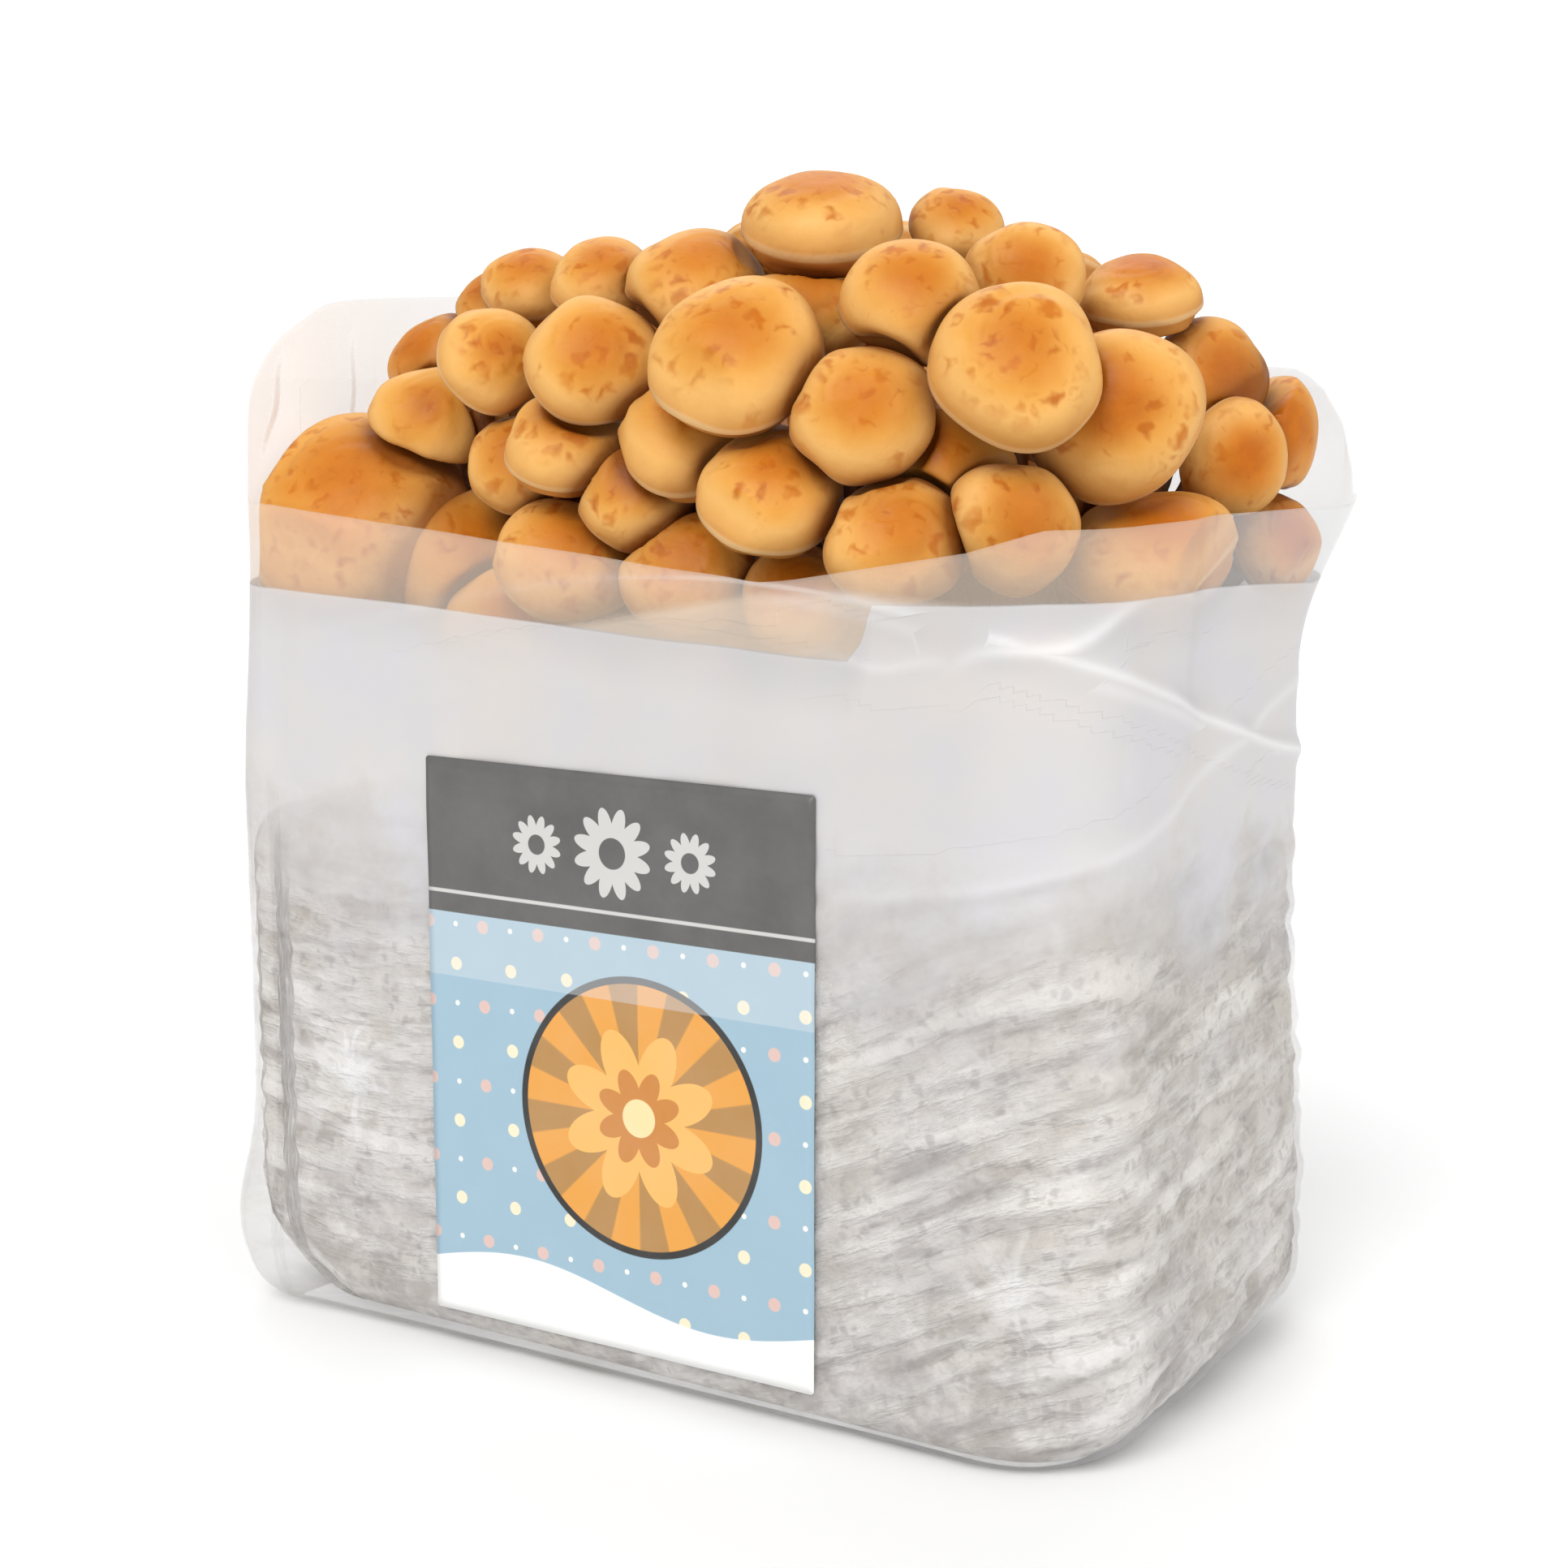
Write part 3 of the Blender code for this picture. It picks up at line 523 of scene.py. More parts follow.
# The inner sheet's edge, and a third one that meets it, as places and heights in mm
SECOND_PLACES = (0.0, 0.24, 0.44, 0.585, 0.72, 0.765, 0.785, 0.87, 1.0, 1.3, 1.6, 1.84, 2.2, 3.0, 3.6, 4.0)
SECOND_HEIGHTS = (172, 170, 167.4, 165.8, 164.6, 164.4, 176, 176.6, 177.4, 177, 176.1, 174.2, 178, 184, 178, 172)
THIRD_PLACES = (0.0, 0.44, 0.65, 0.76, 0.87, 1.0, 1.3, 4.0)
THIRD_HEIGHTS = (150, 168, 176.7, 178.6, 177, 177, 176.5, 150)


def wall_grid(plan, base, tops, foot_rows, wall_rows, inset, relief, flap=True, foot_radii=FOOT_RADII):
    """Rows from the foot up: a quarter circle, then even steps; each point moves out by swelling, relief and foot."""
    points, normals, places, run = plan
    foot = eased(places, FOOT_PLACES, foot_radii) * MM
    angle = math.pi / 2 * np.arange(foot_rows) / foot_rows
    share = np.arange(wall_rows) / (wall_rows - 1)
    rise = np.vstack([np.outer(1 - np.cos(angle), foot), np.outer(1 - share, foot) + np.outer(share, tops - base)])
    z = base + rise
    out = swell(points[:, 0], points[:, 1], z, flap) - foot_inset(rise, foot) - inset
    moved, *rest = relief(points, places, run, z)
    out = out + moved * smooth_step(rise, 0.5 * MM, 6 * MM)
    flat = points[None] + normals[None] * out[..., None]
    return np.dstack([flat, z]), *rest


def base_rings(ring, count):
    """Flat rings that shrink from a first ring towards its middle."""
    middle = ring.mean(axis=0)
    share = np.linspace(0, 1, count + 1, endpoint=False)[1:]
    return middle + share[:, None, None] * (ring - middle), middle


plan = outline(62, 40, 16)
rim = eased(plan[2], RIM_PLACES, RIM_HEIGHTS, 0.010) * MM
wall, far_a, far_b, strong_a, strong_b, ridge, along = wall_grid(plan, 0.0, rim, FOOT_ROWS, WALL_ROWS, 0.0, wall_relief)
base, base_middle = base_rings(wall[0], BASE_ROWS)
rings = np.vstack([base, wall])
height = np.append(rings[..., 2].ravel(), 0.0)


def below(line):
    """How far each point of the bag lies under a line of heights."""
    return np.append((line[None, :] - rings[..., 2]).ravel(), line.mean())


def on_all(values, below_wall):
    """A mark of the wall carried on to the base's rings and middle: one value, or the wall's first row."""
    first = np.broadcast_to(values[0] if below_wall is None else below_wall, base.shape[:2])
    return np.append(np.vstack([first, values]).ravel(), 0.0)


film_marks = {
    "under_rim": below(rim),
    "under_second": below(np.interp(plan[2], SECOND_PLACES, SECOND_HEIGHTS) * MM),
    "under_third": below(np.interp(plan[2], THIRD_PLACES, THIRD_HEIGHTS) * MM),
    "far_a": on_all(far_a, 0.05),
    "far_b": on_all(far_b, 0.05),
    "strong_a": on_all(strong_a, 0.0),
    "strong_b": on_all(strong_b, 0.0),
    "ridge": on_all(ridge, None),
    "along": on_all(along, None),
}
bag = skin("grow_bag_film", rings, base_middle, None, film_marks)
sheet = bag.modifiers.new("sheet", "SOLIDIFY")
sheet.thickness = FILM_SHEET
sheet.offset = -1
print("film", rings.shape[:2], "thickness in mm", FILM_SHEET / MM)

# %% [markdown]
# ## The finish of the film
#
# Filled film is neither clear nor white. Near its cut edge it veils what is behind by about half. Below the inner
# sheet's edge two layers make it nearly white. Where it lies wet against the block it clears again, in patches.
# So the graph works out how much the whole wall should cover, and takes the root that gives the same cover through the
# sheet's two faces. Folds catch the light and cover more.

# %% Film finish
def ridge_place(tree, stretch):
    """A place on the unrolled wall that follows the ridges: stretched along them, true across them."""
    run = calc(tree, "MULTIPLY", mark(tree, "along"), stretch)
    return add(tree, "CombineXYZ", {0: run, 1: mark(tree, "ridge")}).outputs[0]


def bright_line(tree, which, width):
    """1 on the folds of one set and falling as a bell over a width, times each fold's strength."""
    share = calc(tree, "DIVIDE", mark(tree, "far_" + which), width)
    bell = calc(tree, "EXPONENT", calc(tree, "MULTIPLY", calc(tree, "MULTIPLY", share, share), -1.0))
    return calc(tree, "MULTIPLY", bell, mark(tree, "strong_" + which))


film, tree, shader = finish("bag_film", 0.32, IOR=1.45)
where = place_of(tree)
height_here = split(tree, where)[2]
streaky = ridge_place(tree, 0.25)
wet = use(tree, clouds, {"Place": streaky, "Scale": 110.0, "Amount": 0.5, "Softness": 0.14})["Mask"]
drift = use(tree, clouds, {"Place": where, "Scale": 24.0, "Amount": 0.5, "Softness": 0.3})["Mask"]
second = fade(tree, mark(tree, "under_second"), -0.0002, 0.0008)
third = fade(tree, mark(tree, "under_third"), -0.0004, 0.0025)
cover = calc(tree, "MULTIPLY_ADD", third, 0.30, 0.40)
deeper = fade(tree, mark(tree, "under_second"), 0.0, 0.014, 0.85, 0.93)
cover = calc(tree, "MAXIMUM", cover, calc(tree, "MULTIPLY", second, deeper))
ragged = calc(tree, "MULTIPLY_ADD", drift, 0.024, height_here)
on_block = fade(tree, ragged, 0.142, 0.094)
clearing = calc(tree, "MULTIPLY_ADD", wet, 0.16, 0.56)
cover = calc(tree, "MULTIPLY", cover, calc(tree, "SUBTRACT", 1.0, calc(tree, "MULTIPLY", on_block, clearing)))
fold_here = calc(tree, "MAXIMUM", bright_line(tree, "a", 0.0013), bright_line(tree, "b", 0.0016))
cover = calc(tree, "MAXIMUM", cover, calc(tree, "MULTIPLY", fold_here, 0.9))
one_face = calc(tree, "SUBTRACT", 1.0, calc(tree, "SQRT", calc(tree, "SUBTRACT", 1.0, cover)))
wire(tree, one_face, shader, "Alpha")
tint = blend(tree, drift, paint("E4DFD9"), paint("DCDBE1"))
behind = fade(tree, split(tree, where)[1], -0.040, 0.035)
tint = blend(tree, second, blend(tree, behind, paint("EEDDCB"), paint("E6E8EA")), tint)
wire(tree, blend(tree, calc(tree, "MULTIPLY", fold_here, 0.8), tint, paint("FAFAFA")), shader, "Base Color")
small = use(tree, grain, {"Place": ridge_place(tree, 0.3), "Scale": 150.0})["Height"]
crease = calc(tree, "MULTIPLY_ADD", fold_here, 0.4, calc(tree, "MULTIPLY", small, on_block))
bump = add(tree, "Bump", {"Height": crease, "Strength": 0.5, "Distance": 0.0015})
wire(tree, bump.outputs[0], shader, "Normal")
settle(bag, film, "bag_film", "grow_bag")

# %% [markdown]
# ## The block
#
# Inside stands the block of sawdust, bound and whitened by mycelium. It fills the bag, so it takes the same outline
# drawn in by a little more than the sheet, and the same ripples, since film and block press on one another. Its top
# rolls over a soft shoulder and is uneven, as broken mycelium is.

# %% Block surface
BLOCK_IN = FILM_SHEET + 0.9 * MM
BLOCK_SHOULDER = 13 * MM
SHOULDER_ROWS = 8
TOP_ROWS = 18


def block_relief(points, places, run, z):
    """The film's ripples on the block, and small knots of its own."""
    film_part, *_, ridge, along = wall_relief(points, places, run, z)
    knots = 0.22 * MM * waves(run[None, :], z, 6 * MM, 0.0, 3.1, 11)
    return np.minimum(film_part, 0.5 * MM) + knots - 0.35 * MM, ridge, along


block_plan = outline(48, 32, 11)
block_base = FILM + 0.3 * MM
shoulder_foot = np.full(len(block_plan[2]), BLOCK_TOP - BLOCK_SHOULDER)
side, ridge, along = wall_grid(
    block_plan, block_base, shoulder_foot, 9, 76, BLOCK_IN, block_relief, False, BLOCK_FOOT_RADII
)
angle = np.arange(1, SHOULDER_ROWS + 1) / SHOULDER_ROWS * math.pi / 2
rise = BLOCK_SHOULDER * np.sin(angle)
back = BLOCK_SHOULDER * (1 - np.cos(angle))
normals = np.dstack([np.broadcast_to(block_plan[1], (SHOULDER_ROWS, *block_plan[1].shape)), np.zeros((SHOULDER_ROWS, len(block_plan[2])))])
shoulder = side[-1][None] - normals * back[:, None, None] + np.dstack([np.zeros((SHOULDER_ROWS, len(block_plan[2]), 2)), np.repeat(rise[:, None], len(block_plan[2]), 1)])
top, top_middle = base_rings(shoulder[-1], TOP_ROWS)
top = top[::-1]
rough = np.concatenate([shoulder, top])
edge_share = np.concatenate([angle / (math.pi / 2), np.ones(TOP_ROWS)])[:, None]
rough[..., 2] += edge_share * (0.7 * MM * waves(rough[..., 0], rough[..., 1], 13 * MM, 0.0, 3.1, 21) - 1.2 * MM)
foot, foot_middle = base_rings(side[0], 3)
rows_over, rows_under = len(rough), len(foot)


def on_block_rows(values):
    """A mark of the block's wall carried on over its top and under its base."""
    under, over = np.tile(values[0], (rows_under, 1)), np.tile(values[-1], (rows_over, 1))
    return np.append(np.vstack([under, values, over]).ravel(), [0.0, 0.0])


block = skin(
    "substrate_block_mycelium",
    np.vstack([foot, side, rough]),
    foot_middle,
    top_middle - [0, 0, 1.2 * MM],
    {"ridge": on_block_rows(ridge), "along": on_block_rows(along)},
)
print("block height in mm", round(float(rough[..., 2].max()) / MM, 1))

# %% [markdown]
# ## The finish of the mycelium
#
# From outside the block is a mottle: white where the mycelium is thick, grey-brown where sawdust shows, with
# fine dark crumbs. Large clouds set the zones, smaller ones break their edges, and a stretched set gives the streaks
# that run up to the right along the side, whitened as painted highlight on their ridges, with a second stretched set
# of painted shade between them. The block is also painted darker towards its foot, as shade. The crumbs are the
# darkest cells of a fine pattern.

# %% Mycelium finish
def burst(tree, where, x, z, spread, quick):
    """White threads that run out from a point of the front: a noise of the angle, fading with distance."""
    parts = split(tree, where)
    dx, dz = calc(tree, "SUBTRACT", parts[0], x), calc(tree, "SUBTRACT", parts[2], z)
    reach = calc(tree, "SQRT", calc(tree, "ADD", calc(tree, "MULTIPLY", dx, dx), calc(tree, "MULTIPLY", dz, dz)))
    turn = calc(tree, "ARCTAN2", dz, dx)
    far = calc(tree, "MULTIPLY", reach, 30.0)
    spokes = add(tree, "CombineXYZ", {0: calc(tree, "SINE", turn), 1: calc(tree, "COSINE", turn), 2: far}).outputs[0]
    threads = add(tree, "TexNoise", {"Vector": spokes, "Scale": quick, "Detail": 2.0}).outputs[0]
    near = fade(tree, reach, spread, spread * 0.1)
    front = fade(tree, parts[1], -0.02, -0.05)
    lines = calc(tree, "MULTIPLY", calc(tree, "MULTIPLY", fade(tree, threads, 0.50, 0.66), near), front)
    return calc(tree, "MAXIMUM", lines, calc(tree, "MULTIPLY", fade(tree, reach, 0.0065, 0.0025), front))


mycelium, tree, shader = finish("mycelium", 0.85)
where = place_of(tree)
streaky = ridge_place(tree, 0.22)
height_here = split(tree, where)[2]
zones = use(tree, clouds, {"Place": where, "Scale": 26.0, "Amount": 0.52, "Softness": 0.16})["Mask"]
mottle = use(tree, clouds, {"Place": where, "Scale": 95.0, "Amount": 0.5, "Softness": 0.12})["Mask"]
# painted highlight: white streaks along the ridges where light would catch them; the same mask raises them in the bump
painted_lit_ridges = use(tree, clouds, {"Place": streaky, "Scale": 120.0, "Amount": 0.50, "Softness": 0.10})["Mask"]
# painted shade: a second stretched set along the ridges, darkened as the shadow in the troughs
painted_trough_shade = use(tree, clouds, {"Place": ridge_place(tree, 0.3), "Scale": 170.0, "Amount": 0.42, "Softness": 0.09})["Mask"]
crumb = use(tree, cells, {"Place": where, "Scale": 400.0, "Warp": 0.002, "Line": 0.3})
crumbs = calc(tree, "MULTIPLY", fade(tree, crumb["Value"], 0.70, 0.86), crumb["Plate"])
tone = blend(tree, zones, paint("9A9083"), paint("C9C2B6"))
tone = blend(tree, calc(tree, "MULTIPLY", mottle, 0.55), tone, paint("F1EEE8"))
tone = blend(tree, calc(tree, "MULTIPLY", painted_trough_shade, 0.70), tone, paint("6A5F50"))
tone = blend(tree, calc(tree, "MULTIPLY", painted_lit_ridges, 0.55), tone, paint("FBF9F5"))
tone = blend(tree, calc(tree, "MULTIPLY", crumbs, 0.35), tone, paint("4A3C2C"))
# painted shade: darker towards the foot of the block, broken up by the mottle
painted_low_shade = calc(tree, "MULTIPLY", fade(tree, height_here, 0.045, 0.004), calc(tree, "SUBTRACT", 1.0, mottle))
tone = blend(tree, calc(tree, "MULTIPLY", painted_low_shade, 0.45), tone, paint("6E6253"))
bend = add(tree, "TexNoise", {"Vector": where, "Scale": 60.0, "Detail": 2.0}).outputs[1]
bend = add(tree, "VectorMath", {0: bend, 1: (0.5, 0.5, 0.5)}, operation="SUBTRACT").outputs[0]
bend = add(tree, "VectorMath", {0: bend, "Scale": 0.012}, operation="SCALE").outputs[0]
wavy = add(tree, "VectorMath", {0: where, 1: bend}, operation="ADD").outputs[0]
threads = calc(tree, "MAXIMUM", burst(tree, wavy, 0.092, 0.038, 0.018, 3.2), burst(tree, wavy, -0.076, 0.059, 0.034, 2.6))
tone = blend(tree, calc(tree, "MULTIPLY", threads, 0.6), tone, paint("FFFFFF"))
wire(tree, tone, shader, "Base Color")
raised = calc(tree, "MULTIPLY_ADD", painted_lit_ridges, 0.8, use(tree, grain, {"Place": where, "Scale": 260.0})["Height"])
bump = add(tree, "Bump", {"Height": raised, "Strength": 0.8, "Distance": 0.002})
wire(tree, bump.outputs[0], shader, "Normal")
settle(block, mycelium, "mycelium", "substrate_block")

# %% [markdown]
# ## The label
#
# A printed sheet is stuck to the front. Its shape is simple, so its care goes into the print: a grey band at the head
# with a row of rosettes, a pale blue field strewn with dots, a round sunburst in ambers, and a white foot. The sheet
# follows the film with a barely seen ripple and has rounded corners and a true thickness.

# %% Label surface
LABEL_SHEET = 0.25 * MM
LABEL_AWAY = BAG_DEPTH / 2 + GAP + 0.35 * MM
LABEL_CORNER = 0.8 * MM
LABEL_ROWS, LABEL_COLUMNS = 64, 52


def label_ring(inset):
    """The label's edge drawn in by an inset: a rectangle with quarter circles for corners, as points in its plane."""
    half = np.array([LABEL_WIDTH / 2, LABEL_HEIGHT / 2]) - inset
    radius = max(LABEL_CORNER - inset, 0.15 * MM)
    parts = []
    for k, (sx, sz) in enumerate(((1, -1), (1, 1), (-1, 1), (-1, -1))):
        count = LABEL_COLUMNS if k % 2 == 0 else LABEL_ROWS
        angle = math.radians(90 * k - 90) + np.linspace(0, math.pi / 2, 5)
        centre = np.array([sx, sz]) * (half - radius)
        arc = centre + radius * np.column_stack([np.cos(angle), np.sin(angle)])
        parts.append(arc)
        following = np.array([[1, 1], [-1, 1], [-1, -1], [1, -1]][k]) * (half - radius)
        out_angle = angle[-1]
        start, end = arc[-1], following + radius * np.array([math.cos(out_angle), math.sin(out_angle)])
        share = np.linspace(0, 1, LABEL_ROWS if k % 2 == 0 else LABEL_COLUMNS)[1:-1]
        parts.append(start * (1 - share[:, None]) + end * share[:, None])
    return np.vstack(parts)


def label_face(scale, away):
    """The edge shrunk towards the middle by a scale, set off the wall, with a slight ripple."""
    ring = label_ring(0.0) * scale
    x = ring[:, 0] + LABEL_LEFT + LABEL_WIDTH / 2
    z = ring[:, 1] + LABEL_FOOT + LABEL_HEIGHT / 2
    ripple = 0.06 * MM * waves(x, z, 30 * MM, 0.4, 0.8, 31)
    return np.column_stack([x, -(away + ripple), z])


scales = np.linspace(0, 1, 27)[1:]
front = np.array([label_face(scale, LABEL_AWAY) for scale in scales])
backside = np.array([label_face(scale, LABEL_AWAY - LABEL_SHEET) for scale in scales[::-1]])
middle = np.array([LABEL_LEFT + LABEL_WIDTH / 2, -LABEL_AWAY, LABEL_FOOT + LABEL_HEIGHT / 2])
label = skin("label_sheet", np.vstack([front, backside]), middle, middle + [0, LABEL_SHEET, 0])
label.data.flip_normals()
print("label in mm", round(LABEL_WIDTH / MM, 1), round(LABEL_HEIGHT / MM, 1))

# %% [markdown]
# ## The print
#
# Each motif is a rule on the distance from a point. A disc is where that distance is under a radius, a ring is two
# discs, a rosette lets the radius swing with the angle, and a pattern repeats one motif by taking the place within a
# tile. The rules are drawn in millimetres from the label's lower left corner.

# %% Print finish
printed, tree, shader = finish("label_print", 0.48, Coat_Weight=0.15)
shader.inputs["Coat Roughness"].default_value = 0.3
parts = split(tree, place_of(tree))
across = calc(tree, "DIVIDE", calc(tree, "SUBTRACT", parts[0], LABEL_LEFT), MM)
up = calc(tree, "DIVIDE", calc(tree, "SUBTRACT", parts[2], LABEL_FOOT), MM)


def edge_at(value, limit, blur=0.12):
    """1 where a value in mm is under a limit."""
    return fade(tree, value, limit + blur, limit - blur)


def from_point(x, y):
    """Distance from a point, and the angle about it."""
    dx, dy = calc(tree, "SUBTRACT", across, x), calc(tree, "SUBTRACT", up, y)
    reach = calc(tree, "SQRT", calc(tree, "ADD", calc(tree, "MULTIPLY", dx, dx), calc(tree, "MULTIPLY", dy, dy)))
    return reach, calc(tree, "ARCTAN2", dy, dx)


def petals(reach, angle, radius, count, depth):
    """A rosette: its radius swings between two values with the angle."""
    swing = calc(tree, "ABSOLUTE", calc(tree, "SINE", calc(tree, "MULTIPLY", angle, count / 2)))
    limit = calc(tree, "MULTIPLY_ADD", swing, radius * depth, radius * (1 - depth))
    return edge_at(calc(tree, "SUBTRACT", reach, limit), 0.0)


def both(first, second):
    """Where two masks meet."""
    return calc(tree, "MULTIPLY", first, second)


def tiled(value, size, offset):
    """Place within a tile, from minus half a tile to half a tile."""
    return calc(tree, "WRAP", calc(tree, "ADD", value, offset), size / 2, -size / 2)


def dots(wide, tall, shift_x, shift_y, radius):
    """A field of dots, one to a tile."""
    dx, dy = tiled(across, wide, shift_x), tiled(up, tall, shift_y)
    reach = calc(tree, "SQRT", calc(tree, "ADD", calc(tree, "MULTIPLY", dx, dx), calc(tree, "MULTIPLY", dy, dy)))
    return edge_at(reach, radius)


HEAD_FROM = 92.5
SUN = (56.0, 53.0)
sun_reach, sun_angle = from_point(*SUN)
ink = blend(tree, dots(15, 18, 0, 0, 1.5), paint("97B6C7"), paint("D9B9B0"))
ink = blend(tree, dots(15, 18, 7.5, 9, 1.5), ink, paint("EFE3C4"))
ink = blend(tree, dots(15, 18, 7.5, 0, 0.6), ink, paint("F4F1E8"))
rays = fade(tree, calc(tree, "SINE", calc(tree, "MULTIPLY", sun_angle, 12.0)), -0.15, 0.15)
sun = blend(tree, rays, paint("E39C38"), paint("B08140"))
sun = blend(tree, petals(sun_reach, sun_angle, 20.0, 8, 0.42), sun, paint("EDB45C"))
sun = blend(tree, petals(sun_reach, sun_angle, 11.0, 8, 0.4), sun, paint("C77F2C"))
sun = blend(tree, edge_at(sun_reach, 4.2), sun, paint("F3D9A0"))
ink = blend(tree, edge_at(sun_reach, 31.0), ink, paint("14110F"))
ink = blend(tree, edge_at(sun_reach, 29.4), ink, sun)
swing = calc(tree, "SINE", calc(tree, "MULTIPLY", across, 2 * math.pi / 99.5))
shore = calc(tree, "SUBTRACT", up, calc(tree, "MULTIPLY", swing, 4.0))
ink = blend(tree, edge_at(shore, 12.2), ink, paint("F7F7F5"))
paler = fade(tree, up, 77.9, 78.2)
ink = blend(tree, calc(tree, "MULTIPLY", paler, 0.28), ink, paint("DCE0E2"))
head = fade(tree, up, HEAD_FROM - 0.12, HEAD_FROM + 0.12)
ink = blend(tree, head, ink, paint("545351"))
for x, radius in ((30.0, 6.5), (49.75, 10.0), (69.5, 6.5)):
    reach, angle_here = from_point(x, 110.0)
    ink = blend(tree, petals(reach, angle_here, radius, 12, 0.35), ink, paint("C9C8C5"))
    ink = blend(tree, edge_at(reach, radius * 0.34), ink, paint("545351"))
line = both(fade(tree, up, 96.6, 96.9), fade(tree, up, 97.7, 97.4))
ink = blend(tree, line, ink, paint("C9C8C5"))
worn = use(tree, clouds, {"Place": place_of(tree), "Scale": 60.0, "Amount": 0.5, "Softness": 0.35})["Mask"]
ink = blend(tree, calc(tree, "MULTIPLY", worn, 0.05), ink, paint("FFFFFF"))
wire(tree, ink, shader, "Base Color")
small = use(tree, grain, {"Place": place_of(tree), "Scale": 1500.0})["Height"]
wire(tree, add(tree, "Bump", {"Height": small, "Strength": 0.08, "Distance": 0.0003}).outputs[0], shader, "Normal")
settle(label, printed, "label_print", "label")

# %% [markdown]
# ## Where the caps lie
#
# The caps crowd on a mound over the block. Each is set out as seen from one corner of the bag, by how far right and how
# high it shows, how large it is, which way its top leans, and how far it lies behind the mound's face. A ray from that
# viewpoint to the mound gives its middle. Neighbours press each other flat, so each pair shares a plane; the
# one that lies further forward keeps its form.

# %% Heap layout
CORNER_VIEW = (math.radians(31.3), 593 * MM, 226 * MM, 1.6 * MM)
MOUND_BASE = 175 * MM
MOUND = (97 * MM, 52 * MM, 78 * MM)
MOUND_POWERS = (3.2, 2.4, 2.4)
DOME, UNDER = 0.62, 0.45
DOME_POWER, UNDER_POWER = 2.15, 2.7
PRESS = 14
LEAST_SHARE = 0.30
NEAR = 1.1
DEEP = 1.08  # under this gauge a cap's middle counts as covered by its neighbour
FULLER = 1.05  # the dressed caps are this much fuller than the plain ones, so that they close on one another
YOUNG_COUNT = 40
YOUNG_BASE = 150 * MM
YOUNG_MOUND = (82 * MM, 35 * MM, 74 * MM)
# Right of the view's line, height, radius in mm; lean right and up; sink in mm; how browned, how smooth the brown is
FRONT_CAPS = (
    (-96, 185.5, 27.5, -0.25, 0.64, -10, 0.95, 0.6),
    (-80, 208.5, 13.5, -0.1, 0.5, 7, 0.55, 0.3),
    (-78.5, 222, 11.5, -0.6, 0.6, 16, 1.3, 0.9),
    (-66, 222, 12.5, 0.25, 0.45, 2, 0.75, 0.2),
    (-65, 234, 10, -0.5, 0.7, 24, 1.1, 0.6),
    (-57, 238, 11, -0.15, 0.8, 16, 1.0, 0.2),
    (-40, 239, 12.5, -0.1, 0.8, 13, 1.0, 0.1),
    (-42.5, 221.5, 15.5, 0, 0.45, -1, 0.9, 0.4),
    (-19.5, 238, 16, 0, 0.8, 12, 0.9, 0.2),
    (-10.5, 222.5, 20, -0.1, 0.6, -6, 0.85, 0.1),
    (8.5, 251, 18.5, 0, 0.95, 6, 0.95, 0.2),
    (6, 233, 14.5, 0.1, 0.7, 17, 1.0, 0.5),
    (-49, 203, 14.5, 0, 0.75, 4, 0.8, 0.3),
    (-59.5, 199, 12.5, -0.2, 0.5, 12, 1.0, 0.3),
    (-21.5, 204.5, 17, 0, 0.7, 8, 0.5, 0.2),
    (-34, 191.5, 13.5, -0.1, 0.5, 6, 1.0, 0.2),
    (-3, 192, 17, 0, 0.65, 0, 0.8, 0.1),
    (-49.5, 176.5, 16.5, 0, 0.6, 4, 1.0, 0.4),
    (-21, 174.5, 16.5, -0.1, 0.5, 8, 1.1, 0.4),
    (-73.5, 177, 20, 0.2, 0.5, 14, 0.6, 0.3),
    (3.5, 168, 13.5, 0, 0.5, 7, 1.3, 0.8),
    (-60.5, 160.5, 17, 0, 0.5, 8, 0.6, 0.3),
    (38.5, 251, 11, 0.1, 0.8, 12, 1.1, 0.5),
    (54.5, 240.5, 13, 0.1, 0.35, 9, 1.0, 0.9),
    (80, 235.5, 14, 0, 0.93, 6, 1.1, 0.9),
    (29, 234.5, 16, 0, 0.6, 2, 0.95, 0.6),
    (52.5, 220.5, 20, 0.1, 0.5, -6, 0.85, 0.3),
    (96, 217.5, 14, 0.4, 0.3, 11, 1.2, 0.9),
    (74.5, 210, 20, 0.05, 0.25, 3, 0.9, 0.8),
    (17.5, 210, 16.5, 0, 0.35, 0, 0.9, 0.1),
    (102, 200, 13, 0.4, 0, 0, 1.2, 1.0),
    (106, 206, 17, 0.7, 0.2, 16, 1.3, 1.0),
    (35.5, 198, 18, 0, 0.5, 15, 0.6, 0.4),
    (25.5, 181, 16.5, 0.1, 0.45, 1, 1.1, 0.4),
    (52, 184.5, 15.5, 0.35, 0.15, 3, 1.0, 0.7),
    (85.5, 176.5, 21, 0, 0.8, 2, 1.0, 0.8),
    (112, 180.5, 12, 0.6, 0.3, 14, 1.2, 0.8),
)
BACK_CAPS = (
    (61, 225, 16, 0.2, 0.6, 5, 1.0, 0.4),
    (33, 234, 17, 0.1, 0.6, 5, 0.9, 0.2),
    (2, 244, 13, 0, 0.6, 8, 1.0, 0.6),
    (-29, 238, 18, 0, 0.6, 4, 0.85, 0.2),
    (-62, 231, 18, -0.1, 0.6, 4, 0.95, 0.7),
    (-80, 207, 15, -0.1, 0.5, 8, 1.1, 0.5),
    (84, 203, 16, 0.3, 0.5, 5, 1.0, 0.3),
    (49, 204, 19, 0.1, 0.45, 1, 0.9, 0.2),
    (13, 213, 20, 0, 0.45, 0, 0.85, 0.3),
    (-24, 208, 20, 0, 0.45, 1, 1.0, 0.6),
    (-60, 203, 20, -0.1, 0.45, 1, 0.8, 0.2),
    (66, 179, 18, 0.1, 0.4, 4, 1.1, 0.6),
    (-5, 183, 19, 0, 0.4, 4, 0.95, 0.3),
)


